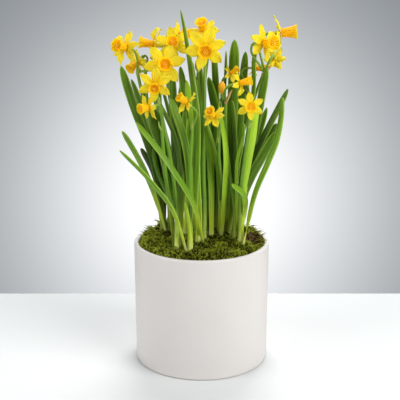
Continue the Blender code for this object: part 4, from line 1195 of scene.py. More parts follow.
@dataclass(frozen=True)
class PaperFinish(Finish):
    """The dry spathe round a fork: thin tan paper with darker veins, green where it is still fresh."""

    pale: str = "#d2ab74"
    vein: str = "#96683a"
    fresh: str = "#94ab48"

    def draw(self, node: NodeMaker) -> Look:
        """Draw veins about 1 mm apart that run to the tip.

        Args:
            node: adds a node to the finish's tree.

        Returns:
            The finish's look.
        """
        flat = node("ShaderNodeUVMap", {"uv_map": "petal"})["UV"]
        drawn = node("ShaderNodeMapping", inputs={"Vector": flat, "Scale": (12.0, 1.5, 1.0)})
        streak = node("ShaderNodeTexNoise", inputs={"Vector": drawn[0], "Scale": 1.0, "Detail": 3.0})["Fac"]
        dryness = node("ShaderNodeAttribute", {"attribute_name": "dryness"})["Fac"]
        coats = (Coat(streak, self.vein, (0.4, 0.7)), Coat(dryness, self.fresh, shown=(1.0, 0.0)))
        return Look(self.pale, coats, streak, 0.0003)


@dataclass(frozen=True)
class TabletopFinish(Finish):
    """A plain pale tabletop with a soft satin surface."""

    colour: str = "#dadcdb"
    cloud: str = "#d6d8d7"

    def draw(self, node: NodeMaker) -> Look:
        """Draw very faint clouds about 250 mm across.

        Args:
            node: adds a node to the finish's tree.

        Returns:
            The finish's look.
        """
        place = node("ShaderNodeTexCoord")["Object"]
        cloud = node("ShaderNodeTexNoise", inputs={"Vector": place, "Scale": 4.0, "Detail": 3.0})
        return Look(self.colour, (Coat(cloud["Fac"], self.cloud),))


STONEWARE = StonewareFinish("matt_glazed_stoneware", roughness=0.5, ior=1.5)
SOIL = SoilFinish("damp_peat_soil", roughness=0.95)
BULB_SKIN = BulbSkinFinish("dry_bulb_skin", roughness=0.6)
MOSS = MossFinish("live_cushion_moss", roughness=0.9, ior=1.4, shine=0.12)
# A darker copy of the moss for the mat and the lower sprigs: painted shade under the top sprigs
MOSS_UNDER_SHADED = MossFinish("moss_undergrowth_painted_shade", roughness=0.95, ior=1.4, shine=0.1, deep="#171503",
                        body="#323a09", tip="#5f6b15", lush="#4a5210")
MOSS_WISP = MossFinish("moss_rim_wisps", roughness=0.85, ior=1.4, shine=0.15, deep="#7a7f20", body="#a3a83c",
                       tip="#c9cc5c", lush="#b4ba44", root_share=1.0)
LEAF = LeafFinish("waxy_strap_leaf", roughness=0.36, ior=1.42, body_light=0.08, light_depth=0.0012, shine=0.3,
                  light_reach=(0.7, 1.0, 0.2))
STEM = StemFinish("juicy_flower_stem", roughness=0.38, ior=1.42, body_light=0.15, light_depth=0.002)
BUD_SKIN = StemFinish("green_bud_skin", roughness=0.42, ior=1.42, body_light=0.15, light_depth=0.002,
                      foot="#8fae4a", green="#a9bd4c", top="#c5cb5a")
TEPAL_BUD = StemFinish("yellow_bud_skin", roughness=0.45, ior=1.42, body_light=0.2, light_depth=0.002,
                       foot="#c2b428", green="#efb41a", top="#f4ad16")
TEPAL = TepalFinish("silky_yellow_petal", roughness=0.6, ior=1.4, body_light=0.35, light_depth=0.002,
                    shine=0.15)
TRUMPET = TrumpetFinish("orange_trumpet", roughness=0.6, ior=1.4, body_light=0.75, light_depth=0.004,
                        shine=0.15)
POLLEN = PollenFinish("pollen_and_filaments", roughness=0.8)
PAPER = PaperFinish("dry_paper_spathe", roughness=0.6, body_light=0.2, light_depth=0.001)
TABLETOP = TabletopFinish("pale_satin_tabletop", roughness=0.45)


# Meshes and Geometry Nodes


class Shape:
    """Corners and faces of one piece, gathered patch by patch, with values at each corner."""

    def __init__(self) -> None:
        """Start with nothing."""
        self.corners: list[np.ndarray] = []
        self.faces: list[tuple[int, ...]] = []
        self.values: dict[str, list[np.ndarray]] = {}
        self.flat: list[np.ndarray] = []
        self.count = 0

    def add(self, corners: np.ndarray, faces: Iterable[tuple[int, ...]], flat: np.ndarray | None = None,
            **values: np.ndarray | float) -> None:
        """Add one closed patch.

        Args:
            corners: its corners in millimetres.
            faces: its faces, by corner.
            flat: the place of each corner on the unrolled surface.
            **values: a number for the patch, or one for each corner.
        """
        corners = np.asarray(corners, float).reshape(-1, 3)
        self.faces += [tuple(int(i) + self.count for i in face) for face in faces]
        self.corners.append(corners)
        flat = np.zeros((len(corners), 2)) if flat is None else flat
        self.flat.append(np.asarray(flat, float).reshape(-1, 2))
        for name, value in values.items():
            spread = np.broadcast_to(np.asarray(value, float).ravel(), len(corners))
            self.values.setdefault(name, []).append(spread)
        self.count += len(corners)

    def add_sheet(self, front: np.ndarray, back: np.ndarray, flat: tuple[np.ndarray, np.ndarray],
                  **values: np.ndarray | float) -> None:
        """Add a thin closed sheet between two grids of corners.

        Args:
            front: rows of corners on its face.
            back: rows of corners behind them.
            flat: the places across and along it, as on the unrolled surface.
            **values: a number for the sheet, or one for each corner of a grid.
        """
        size = front.shape[:2]
        unrolled = np.stack([np.broadcast_to(way, size) for way in flat], axis=-1).reshape(-1, 2)
        both = {name: np.tile(np.broadcast_to(value, size).ravel(), 2) for name, value in values.items()}
        self.add(np.concatenate((front.reshape(-1, 3), back.reshape(-1, 3))), shell_faces(*size),
                 np.tile(unrolled, (2, 1)), **both)

    def make(self, name: str, finish: Finish, flat_name: str | None = None) -> bpy.types.Object:
        """Turn what was gathered into one object, faces outward and shaded smooth.

        Args:
            name: the object's name.
            finish: its surface.
            flat_name: the name for the unrolled places, where the finish reads them.

        Returns:
            The object, at the origin.
        """
        corners = np.concatenate(self.corners) * MM
        mesh = bpy.data.meshes.new(name)
        mesh.from_pydata(corners.tolist(), [], self.faces)
        for key, parts in self.values.items():
            made = mesh.attributes.new(key, "FLOAT", "POINT")
            made.data.foreach_set("value", np.concatenate(parts).astype(np.float32))
        if flat_name:
            layer = mesh.uv_layers.new(name=flat_name)
            order = np.zeros(len(mesh.loops), np.int32)
            mesh.loops.foreach_get("vertex_index", order)
            layer.data.foreach_set("uv", np.concatenate(self.flat)[order].astype(np.float32).ravel())
        outward(mesh)
        mesh.materials.append(finish.material())
        mesh.shade_smooth()
        return linked(name, mesh)


def linked(name: str, data: bpy.types.ID | None) -> bpy.types.Object:
    """Make an object and link it to the scene.

    Args:
        name: its name.
        data: its mesh, curve, lamp or camera.

    Returns:
        The object.
    """
    item = bpy.data.objects.new(name, data)
    bpy.context.scene.collection.objects.link(item)
    return item


def outward(mesh: bpy.types.Mesh) -> None:
    """Turn every face outward.

    Args:
        mesh: the mesh.
    """
    work = bmesh.new()
    work.from_mesh(mesh)
    bmesh.ops.recalc_face_normals(work, faces=work.faces)
    work.to_mesh(mesh)
    work.free()


def shell_faces(rows: int, columns: int) -> list[tuple[int, ...]]:
    """Join two grids of corners, the front one first, into a closed thin shell.

    Args:
        rows: points along it.
        columns: points across it.

    Returns:
        Its faces, by corner.
    """
    back = rows * columns
    faces = []
    for row in range(rows - 1):
        for column in range(columns - 1):
            a = row * columns + column
            b, c, d = a + 1, a + columns + 1, a + columns
            faces.append((a, b, c, d))
            faces.append((back + a, back + d, back + c, back + b))
    for row in range(rows - 1):
        for column in (0, columns - 1):
            a, d = row * columns + column, (row + 1) * columns + column
            faces.append((a, d, back + d, back + a))
    for column in range(columns - 1):
        for row in (0, rows - 1):
            a, b = row * columns + column, row * columns + column + 1
            faces.append((a, b, back + b, back + a))
    return faces


def turned_faces(rings: int, sides: int) -> list[tuple[int, ...]]:
    """Join rings of corners with quads, and cap both ends.

    Args:
        rings: rings of corners.
        sides: corners in a ring.

    Returns:
        The faces, by corner.
    """
    faces = []
    for ring in range(rings - 1):
        for side in range(sides):
            after = (side + 1) % sides
            low, high = ring * sides, (ring + 1) * sides
            faces.append((low + side, low + after, high + after, high + side))
    faces.append(tuple(range(sides)))
    faces.append(tuple(range((rings - 1) * sides, rings * sides)))
    return faces


def sweep(stations: np.ndarray, radii: np.ndarray, sides: int, squash: float = 1.0) -> np.ndarray:
    """Round a tube through stations.

    Args:
        stations: points on its middle line.
        radii: its radius at each.
        sides: corners round it.
        squash: depth over width of its section.

    Returns:
        Its corners.
    """
    rows = []
    side = None
    for k in range(len(stations)):
        run = unit(stations[min(k + 1, len(stations) - 1)] - stations[max(k - 1, 0)])
        side = np.cross(run, (0.31, 0.95, 0.07)) if side is None else side - run * np.dot(side, run)
        side = unit(side)
        other = np.cross(run, side)
        angles = 2.0 * math.pi * np.arange(sides) / sides
        rows.append(stations[k] + radii[k] * (np.outer(np.cos(angles), side)
                                              + squash * np.outer(np.sin(angles), other)))
    return np.concatenate(rows)


def place_piece(item: bpy.types.Object, slot: Slot, stands_for: Sequence[str] = ()) -> bpy.types.Object:
    """Fix a piece to the frame and report it.

    Args:
        item: the piece.
        slot: the record's slot that its finish belongs to.
        stands_for: the solid parts that it shows instead of.

    Returns:
        The piece.
    """
    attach(item, BODY)
    if stands_for:
        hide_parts(*stands_for)
    triangles = sum(len(face.vertices) - 2 for face in item.data.polygons)
    LOG.info("%s: %d triangles, %s", item.name, triangles, slot.value)
    return item


class Recipe:
    """A Geometry Nodes tree with named sizes, run on an object and turned into a plain mesh."""

    kinds: ClassVar[dict[type, str]] = {
        int: "NodeSocketInt", float: "NodeSocketFloat", bpy.types.Object: "NodeSocketObject",
        bpy.types.Material: "NodeSocketMaterial"}

    def __init__(self, name: str, finish: Finish, sizes: Mapping[str, Any]) -> None:
        """Open the tree.

        Args:
            name: the name of the piece that it makes.
            finish: the piece's surface.
            sizes: a value for each named input.
        """
        self.name = name
        self.tree = bpy.data.node_groups.new(name + "_recipe", "GeometryNodeTree")
        interface = self.tree.interface
        for way in ("INPUT", "OUTPUT"):
            interface.new_socket("Geometry", in_out=way, socket_type="NodeSocketGeometry")
        self.values: dict[str, Any] = {}
        for key, value in {**sizes, "Material": finish.material()}.items():
            socket = interface.new_socket(key, in_out="INPUT", socket_type=self.kinds[type(value)])
            self.values[socket.identifier] = value
        self.node: NodeMaker = partial(add_node, self.tree)
        self.given = self.node("NodeGroupInput")

    def close(self, geometry: bpy.types.NodeSocket) -> None:
        """End the tree: real meshes, shaded smooth, in their material.

        Args:
            geometry: the socket of what is made.
        """
        real = self.node("GeometryNodeRealizeInstances", inputs={0: geometry})[0]
        smooth = self.node("GeometryNodeSetShadeSmooth", inputs={0: real})[0]
        dressed = self.node("GeometryNodeSetMaterial", inputs={"Geometry": smooth,
                                                               "Material": self.given["Material"]})
        self.node("NodeGroupOutput", inputs={0: dressed[0]})

    def run(self, item: bpy.types.Object) -> bpy.types.Object:
        """Run the tree on an object, which it uses up.

        Args:
            item: the object.

        Returns:
            The piece, as a plain mesh at the origin.
        """
        modifier = item.modifiers.new("recipe", "NODES")
        modifier.node_group = self.tree
        for identifier, value in self.values.items():
            modifier[identifier] = value
        bpy.context.view_layer.update()
        graph = bpy.context.evaluated_depsgraph_get()
        mesh = bpy.data.meshes.new_from_object(item.evaluated_get(graph), depsgraph=graph)
        item.modifiers.remove(modifier)
        bpy.data.objects.remove(item, do_unlink=True)
        mesh.name = self.name
        return linked(self.name, mesh)


def curve_object(name: str, paths: Iterable[tuple[np.ndarray, np.ndarray, bool]]) -> bpy.types.Object:
    """Draw a curve with one straight-jointed spline for each path.

    Args:
        name: its name.
        paths: points in millimetres, the radius at each, and whether the path closes on itself.

    Returns:
        The curve, as an object.
    """
    data = bpy.data.curves.new(name, "CURVE")
    data.dimensions = "3D"
    for points, radii, closed in paths:
        spline = data.splines.new("POLY")
        spline.points.add(len(points) - 1)
        spline.use_cyclic_u = closed
        for knot, place, radius in zip(spline.points, points, radii):
            knot.co = (*(float(v) * MM for v in place), 1.0)
            knot.radius = float(radius) * MM
    return linked(name, data)


def swept_paths(name: str, paths: Sequence[tuple[np.ndarray, np.ndarray, bool]], sides: int,
                finish: Finish) -> bpy.types.Object:
    """Sweep a circle along each path.

    Args:
        name: the piece's name.
        paths: points in millimetres, the radius at each, and whether the path closes on itself.
        sides: corners round a path.
        finish: the surface.

    Returns:
        The piece, as one plain mesh.
    """
    recipe = Recipe(name, finish, {"Sides": sides})
    section = recipe.node("GeometryNodeCurvePrimitiveCircle", inputs={"Resolution": recipe.given["Sides"],
                                                                      "Radius": 1.0})["Curve"]
    radius = recipe.node("GeometryNodeInputRadius")[0]
    swept = recipe.node("GeometryNodeCurveToMesh", inputs={"Curve": recipe.given["Geometry"], "Scale": radius,
                                                           "Profile Curve": section, "Fill Caps": True})
    recipe.close(swept["Mesh"])
    item = recipe.run(curve_object(name + "_paths", paths))
    outward(item.data)
    return item


# The pot and what fills it


@dataclass
class Pot:
    """A plain round pot with a thick floor and softly rounded edges.

    Attributes:
        rim_radius: of its outside at the rim.
        foot_radius: of its outside at the foot.
        height: from the table to the rim.
        wall: thickness of its wall.
        floor: thickness of its floor.
        lip: radius of its rounded edges.
        sides: points round it.
        arc_steps: points on each rounded edge.
    """

    rim_radius: float = POT_RIM_RADIUS
    foot_radius: float = POT_FOOT_RADIUS
    height: float = POT_HEIGHT
    wall: float = POT_WALL
    floor: float = POT_FLOOR
    lip: float = 1.6
    sides: int = 144
    arc_steps: int = 6

    def arc(self, x: float, y: float, start: float) -> list[tuple[float, float]]:
        """Round a quarter of a circle of the lip's radius.

        Args:
            x: its middle's distance from the pot's axis.
            y: its middle's height.
            start: its first angle in degrees; it runs anticlockwise.

        Returns:
            Places on it.
        """
        angles = np.radians(start + np.linspace(0.0, 90.0, self.arc_steps + 1))
        return [(x + self.lip * math.cos(angle), y + self.lip * math.sin(angle)) for angle in angles]

    def profile(self) -> list[tuple[float, float]]:
        """Draw the closed outline of the wall's section.

        Returns:
            For each of its points, the distance from the axis and the height.
        """
        lip, inner = self.lip, self.rim_radius - self.wall
        outline = self.arc(self.foot_radius - lip, lip, 270.0)
        widening = self.rim_radius - self.foot_radius
        outline += [(self.foot_radius + share * widening, share * self.height)
                    for share in (0.02, 0.25, 0.5, 0.75, 0.98)]
        outline += self.arc(self.rim_radius - lip, self.height - lip, 0.0)
        outline += self.arc(inner + lip, self.height - lip, 90.0)
        outline += [(inner, 0.9 * self.height), (inner, 0.5 * self.height), (inner, self.floor + lip)]
        outline += [(inner - lip, self.floor), (0.5 * inner, self.floor), (0.2, self.floor)]
        outline += [(0.2, 0.0), (0.5 * inner, 0.0), (self.foot_radius - 4.0 * lip, 0.0)]
        return outline

    def build(self) -> None:
        """Sweep the wall's section round the axis and dress it."""
        # The sweep lays a section's second axis downward, so heights go in negative
        outline = np.array([(x, -y, 0.0) for x, y in self.profile()])
        recipe = Recipe("pot_body", STONEWARE, {"Sides": self.sides, "Sweep Radius": self.rim_radius * MM})
        given, node = recipe.given, recipe.node
        circle = node("GeometryNodeCurvePrimitiveCircle", inputs={"Resolution": given["Sides"],
                                                                  "Radius": given["Sweep Radius"]})["Curve"]
        level = node("GeometryNodeSetCurveNormal", {"mode": "Z_UP"}, {"Curve": circle})["Curve"]
        # The section is drawn from the pot's axis, so it moves in by the radius of the sweep
        back = node("ShaderNodeMath", {"operation": "MULTIPLY"}, {0: given["Sweep Radius"], 1: -1.0})[0]
        shift = node("ShaderNodeCombineXYZ", inputs={"X": back})[0]
        section = node("GeometryNodeTransform", inputs={"Geometry": given["Geometry"],
                                                        "Translation": shift})[0]
        swept = node("GeometryNodeCurveToMesh", inputs={"Curve": level, "Profile Curve": section})
        recipe.close(swept["Mesh"])
        item = recipe.run(curve_object("pot_section", [(outline, np.ones(len(outline)), True)]))
        outward(item.data)
        place_piece(item, Slot.POT, ("pot",))


@dataclass
class MossBed:
    """The moss over the soil: a rough mat, and sprigs that stand on it.

    Attributes:
        radius: the mat's radius.
        rings: rows of points from its middle to its edge.
        sectors: points round it.
        leaflets: leaflets on one sprig.
        sprig_height: height of a sprig before it is scaled.
        under_gap: least distance between two dark sprigs of the lower layer, painted shade, in metres.
        top_gap: least distance between two bright sprigs, in metres.
        wisp_count: long thin shoots near the rim.
        wisp_reach: how far from the pot's axis they lean out.
        collar: how far the moss grows up round the foot of a shoot.
        collar_spread: how wide that is, as the square of a distance.
    """

    radius: float = POT_RIM_RADIUS - POT_WALL - FIT_GAP
    rings: int = 60
    sectors: int = 180
    leaflets: int = 8
    sprig_height: float = 4.2
    under_gap: float = 0.00135
    top_gap: float = 0.0013
    wisp_count: int = 190
    wisp_reach: float = 80.0
    collar: float = 4.6
    collar_spread: float = 60.0

    def height(self, x: float, y: float) -> float:
        """Shape the rough mat, which grows up round the foot of each shoot.

        Args:
            x: the place, from left to right.
            y: the place, from front to back.

        Returns:
            Its height over the place.
        """
        coarse = noise.noise(Vector((x, y, 0.0)) / 9.0)
        fine = noise.noise(Vector((x, y, 40.0)) / 3.2)
        edge = smooth_step(math.hypot(x, y), self.radius - 9.0, self.radius)
        near = max(math.exp(-((x - shoot_x) ** 2 + (y - shoot_y) ** 2) / self.collar_spread)
                   for shoot_x, shoot_y in SHOOTS.values())
        return moss_height(x, y) + 2.0 * coarse + 0.9 * fine + self.collar * near - 2.5 * edge - 1.0

    def mat(self) -> bpy.types.Object:
        """Build the rough mat.

        Returns:
            The mat, as one closed mesh.
        """
        rows = []
        for ring in range(1, self.rings + 1):
            radius = self.radius * ring / self.rings
            for step in range(self.sectors):
                angle = 2.0 * math.pi * step / self.sectors
                x, y = radius * math.cos(angle), radius * math.sin(angle)
                rows.append((x, y, self.height(x, y)))
        for x, y, _ in rows[-self.sectors:]:
            rows.append((x, y, SOIL_TOP + FIT_GAP))
        faces = turned_faces(self.rings + 1, self.sectors)
        middle = len(rows)
        rows.append((0.0, 0.0, self.height(0.0, 0.0)))
        faces.pop(-2)
        faces += [(step, (step + 1) % self.sectors, middle) for step in range(self.sectors)]
        shape = Shape()
        shape.add(np.array(rows), faces, tone=0.25, tip=0.0)
        # The mat wears the darker lower finish: painted shade
        return shape.make("moss_ground", MOSS_UNDER_SHADED)

    def sprig(self) -> bpy.types.Object:
        """Build a slim stalk with thin leaflets round it.

        Returns:
            One sprig.
        """
        draw = random.Random(7)
        shape = Shape()
        needle = [(0, 1, 2), (0, 3, 1), (1, 3, 2), (0, 2, 3)]
        tall = self.sprig_height
        stalk = ((-0.22, -0.2, -0.6), (0.22, -0.2, -0.6), (0.0, 0.26, -0.6), (0.1, 0.0, tall))
        shape.add(np.array(stalk), needle, tip=np.array((0.0, 0.0, 0.0, 1.0)))
        for leaflet in range(self.leaflets):
            share = (leaflet + 0.6) / self.leaflets
            turn = 2.4 * leaflet + draw.uniform(-0.3, 0.3)
            out = np.array((math.cos(turn), math.sin(turn), 0.0))
            side = np.array((-out[1], out[0], 0.0))
            foot = np.array((0.0, 0.0, 0.75 * tall * share))
            reach = 2.1 * (1.05 - 0.55 * share)
            middle = foot + 0.45 * reach * out + np.array((0.0, 0.0, 0.45 * reach))
            tip = foot + reach * out + np.array((0.0, 0.0, reach * draw.uniform(0.35, 0.9)))
            shape.add(np.array((foot, tip, middle + 0.42 * side, middle - 0.42 * side)), needle,
                      tip=np.array((0.8 * share, 1.0, 0.3 + 0.5 * share, 0.3 + 0.5 * share)))
        return shape.make("sprig", MOSS)

    def sprigs(self, name: str, finish: Finish, gap: float, seed: int, smallest: float,
               largest: float) -> bpy.types.Object:
        """Stand sprigs all over the mat.

        Args:
            name: the piece's name.
            finish: its surface.
            gap: least distance between two sprigs, in metres.
            seed: what the random draws start from.
            smallest: least scale of a sprig.
            largest: greatest scale of a sprig.

        Returns:
            The sprigs as one plain mesh.
        """
        single = self.sprig()
        recipe = Recipe(name, finish, {
            "Sprig": single, "Gap": gap, "Crowding": 0.62 / (gap * gap), "Smallest": smallest,
            "Largest": largest, "Lean": 0.75, "Tuft Scale": 70.0, "Seed": seed})
        given, node = recipe.given, recipe.node
        normal = node("GeometryNodeInputNormal")[0]
        rise = node("ShaderNodeSeparateXYZ", inputs={0: normal})["Z"]
        upper = node("FunctionNodeCompare", {"operation": "GREATER_THAN"}, {0: rise, 1: 0.15})[0]
        spots = node("GeometryNodeDistributePointsOnFaces", {"distribute_method": "POISSON"},
                     {"Mesh": given["Geometry"], "Selection": upper, "Distance Min": given["Gap"],
                      "Density Max": given["Crowding"], "Seed": given["Seed"]})
        lean = given["Lean"]
        back = node("ShaderNodeMath", {"operation": "MULTIPLY"}, {0: lean, 1: -1.0})[0]
        low = node("ShaderNodeCombineXYZ", inputs={"X": back, "Y": back})[0]
        high = node("ShaderNodeCombineXYZ", inputs={"X": lean, "Y": lean, "Z": 2.0 * math.pi})[0]
        leaning = node("FunctionNodeRandomValue", {"data_type": "FLOAT_VECTOR"},
                       {0: low, 1: high, "Seed": given["Seed"]})[0]
        turn = node("FunctionNodeEulerToRotation", inputs={0: leaning})[0]
        stance = node("FunctionNodeRotateRotation", {"rotation_space": "LOCAL"},
                      {0: spots["Rotation"], 1: turn})[0]
        drawn = node("FunctionNodeRandomValue", {"data_type": "FLOAT"},
                     {2: given["Smallest"], 3: given["Largest"], "Seed": given["Seed"]})[1]
        tuft = node("ShaderNodeTexNoise", inputs={"Scale": given["Tuft Scale"], "Detail": 1.0})["Fac"]
        swell = node("ShaderNodeMapRange", inputs={"Value": tuft, "From Min": 0.34, "From Max": 0.64,
                                                   "To Min": 0.5, "To Max": 1.45})["Result"]
        size = node("ShaderNodeMath", {"operation": "MULTIPLY"}, {0: drawn, 1: swell})[0]
        shown = node("GeometryNodeObjectInfo", inputs={"Object": given["Sprig"]})["Geometry"]
        standing = node("GeometryNodeInstanceOnPoints", inputs={"Points": spots["Points"], "Instance": shown,
                                                                "Rotation": stance, "Scale": size})
        shade = node("FunctionNodeRandomValue", {"data_type": "FLOAT"}, {"Seed": given["Seed"]})[1]
        toned = node("GeometryNodeStoreNamedAttribute", {"domain": "INSTANCE", "data_type": "FLOAT"},
                     {"Geometry": standing["Instances"], "Name": "tone", "Value": shade})
        recipe.close(toned["Geometry"])
        made = recipe.run(self.mat())
        bpy.data.objects.remove(single, do_unlink=True)
        return made

    def wisps(self) -> bpy.types.Object:
        """Grow long thin shoots of moss that rise near the rim and bend over it.

        Returns:
            The shoots, as one plain mesh.
        """
        draw = random.Random(23)
        paths = []
        for _ in range(self.wisp_count):
            # Most of them stand at the back left and on the right
            turns = (draw.gauss(150.0, 22.0), draw.gauss(15.0, 26.0), draw.uniform(0, 360))
            turn = math.radians(draw.choice(turns))
            radius = draw.uniform(58.0, 73.0)
            x, y = radius * math.cos(turn), radius * math.sin(turn)
            lean = turn + draw.uniform(-1.1, 1.1)
            length, droop = draw.uniform(7.0, 15.0), draw.uniform(0.1, 0.6)
            share = np.linspace(0.0, 1.0, 7)
            out = length * (0.25 * share + 0.6 * share ** 2)
            out = np.minimum(out, self.wisp_reach - radius) if radius + length > self.wisp_reach else out
            rise = length * (0.8 * share - droop * share ** 2)
            points = np.column_stack((x + out * math.cos(lean), y + out * math.sin(lean),
                                      self.height(x, y) - 0.5 + rise))
            paths.append((points, np.interp(share, (0.0, 0.5, 1.0), (0.35, 0.5, 0.12)), False))
        return swept_paths("moss_rim_wisps", paths, 5, MOSS_WISP)

    def build(self) -> None:
        """Build and dress the mat, both layers of sprigs and the wisps."""
        place_piece(self.mat(), Slot.MOSS, ("moss_mat",))
        for name, finish, gap, seed, smallest, largest in (
                ("moss_undergrowth_sprigs", MOSS_UNDER_SHADED, self.under_gap, 3, 0.6, 0.9),
                ("moss_top_sprigs", MOSS, self.top_gap, 11, 0.55, 1.05)):
            place_piece(self.sprigs(name, finish, gap, seed, smallest, largest), Slot.MOSS)
        place_piece(self.wisps(), Slot.MOSS)


def dress_buried(nodes: Mapping[str, bpy.types.Object]) -> None:
    """Give the soil and the bulbs, which keep their solid parts, their finishes."""
    for name, node in nodes.items():
        finish = SOIL if name == "potting_soil" else BULB_SKIN if name.startswith("bulb_") else None
        if finish is not None:
            node.material_slots[0].material = finish.material()
            LOG.info("%s: finished as %s", name, finish.name)


# The plants


@dataclass
class LeafBlade:
    """One strap leaf: clasping its shoot at the foot, channelled, keeled, and round at the tip.

    Attributes:
        strand: its settled middle line.
        foot: where its shoot stands.
        tone: from 0, dark, to 1, fresh.
        layer: its place among the leaves of its shoot, from the inside out.
        breadth: its width over that of the solid part.
        rows: points along it.
        columns: points across it.
        middle: thickness along its middle.
        rim: thickness at its edges.
        keel: extra thickness of the rib behind.
        channel: rise of its edges over its width.
        tip: share of its length over which it rounds off.
        clasp_low: the height below which it wraps round the shoot.
        clasp_high: the height above which it lies open.
        free_height: the height above which it keeps to its settled line.
        foot_height: the height of its foot, under the moss.
    """

    strand: Strand
    foot: tuple[float, float]
    tone: float
    layer: int
    breadth: float
    rows: int = 44
    columns: int = 9
    middle: float = 1.1
    rim: float = 0.5
    keel: float = 0.35
    channel: float = 0.11
    tip: float = 0.12
    clasp_low: float = 150.0
    clasp_high: float = 192.0
    free_height: float = 206.0
    foot_height: float = 141.0

    outline: ClassVar[Profile] = ((0.0, 0.66), (0.12, 0.68), (0.32, 0.82), (0.54, 1.0), (0.78, 0.98),
                                  (1.0, 0.88))

    def add_to(self, shape: Shape) -> None:
        """Add the blade to a plant's foliage.

        Args:
            shape: the mesh that it joins.
        """
        share = 1.0 - (1.0 - np.linspace(0.0, 1.0, self.rows)) ** 1.2
        stations = smooth_path(self.path(), share)
        full = self.breadth * self.strand.widths.max()
        width = full * np.interp(share, *zip(*self.outline))
        past = np.clip((share - (1.0 - self.tip)) / self.tip, 0.0, 1.0)
        width = np.maximum(width * (1.0 - past ** 2.6) ** 0.56, 0.25)
        turn = np.interp((share - 0.12) / 0.88, LEAF_FRACTIONS, self.strand.turns)
        run = np.gradient(stations, axis=0)
        run /= np.linalg.norm(run, axis=1)[:, None]
        sight = stations - EYE
        across = np.cross(run, sight)
        across /= np.linalg.norm(across, axis=1)[:, None]
        face = np.cross(across, run)
        cos, sin = np.cos(turn)[:, None], np.sin(turn)[:, None]
        across, face = across * cos + face * sin, face * cos - across * sin
        u = np.linspace(-1.0, 1.0, self.columns)
        lift = self.channel * width[:, None] * (np.abs(u) ** 1.5 - 0.35)
        thickness = self.rim + (self.middle - self.rim) * (1.0 - u ** 2)
        half = 0.5 * thickness * np.minimum(1.0, width[:, None] / 3.0)
        keel = self.keel * np.exp(-(u / 0.16) ** 2) * np.minimum(1.0, width[:, None] / 6.0)
        out = 0.5 * width[:, None] * u
        middle = stations[:, None, :] + across[:, None, :] * out[..., None]
        front = middle + face[:, None, :] * (lift - half - keel)[..., None]
        back = middle + face[:, None, :] * (lift + half)[..., None]
        front, back = self.clasp(stations, across, u, width, half, front, back)
        along = np.concatenate(([0.0], np.cumsum(np.linalg.norm(np.diff(stations, axis=0), axis=1))))
        shape.add_sheet(front, back, (out, along[:, None]), tone=self.tone, rim=np.abs(u))

    def clasp(self, stations: np.ndarray, across: np.ndarray, u: np.ndarray, width: np.ndarray,
              half: np.ndarray, front: np.ndarray, back: np.ndarray) -> tuple[np.ndarray, np.ndarray]:
        """Wrap the lowest part of the blade round its shoot, and free it higher up.

        Args:
            stations: its middle line.
            across: the way across it at each station.
            u: places across it, from -1 to 1.
            width: its width at each station.
            half: half its thickness at each corner.
            front: its front corners when free.
            back: its back corners when free.

        Returns:
            The front and back corners.
        """
        start = math.atan2(self.lean[1], self.lean[0])
        height = stations[:, 2]
        ring = np.interp(height, (140.0, 160.0, self.clasp_high), (3.9, 3.6, 3.0))
        middle = stations[:, :2] - ring[:, None] * self.lean
        side = np.sign(across[0, 1] * math.cos(start) - across[0, 0] * math.sin(start)) or 1.0
        reach = np.maximum(0.5 * width, 3.3) / ring
        angle = start + side * reach[:, None] * u
        wrapped = []
        for sign in (-1.0, 1.0):
            radius = ring[:, None] + side * sign * 0.7 * half
            x, y = middle[:, :1] + radius * np.cos(angle), middle[:, 1:] + radius * np.sin(angle)
            wrapped.append(np.stack((x, y, np.broadcast_to(height[:, None], angle.shape)), axis=-1))
        held = (1.0 - smooth_step(height, self.clasp_low, self.clasp_high))[:, None, None]
        return front + held * (wrapped[0] - front), back + held * (wrapped[1] - back)

    @property
    def lean(self) -> np.ndarray:
        """Return the level direction in which the blade leaves its shoot."""
        lean = self.strand.stations[2][:2] - np.array(self.foot)
        return lean / max(float(np.linalg.norm(lean)), 0.001)

    def path(self) -> np.ndarray:
        """Choose places on the middle line, from below the moss straight into the free part.

        Returns:
            The places.
        """
        ring = 3.9 + 0.5 * (self.layer % 3 - 1)
        first = (self.foot[0] + ring * self.lean[0], self.foot[1] + ring * self.lean[1], self.foot_height)
        stations = self.strand.stations
        free = min(self.free_height, 0.7 * LEAF_START + 0.3 * stations[-1][2])
        return np.array([first] + [place for place in stations if place[2] >= free])


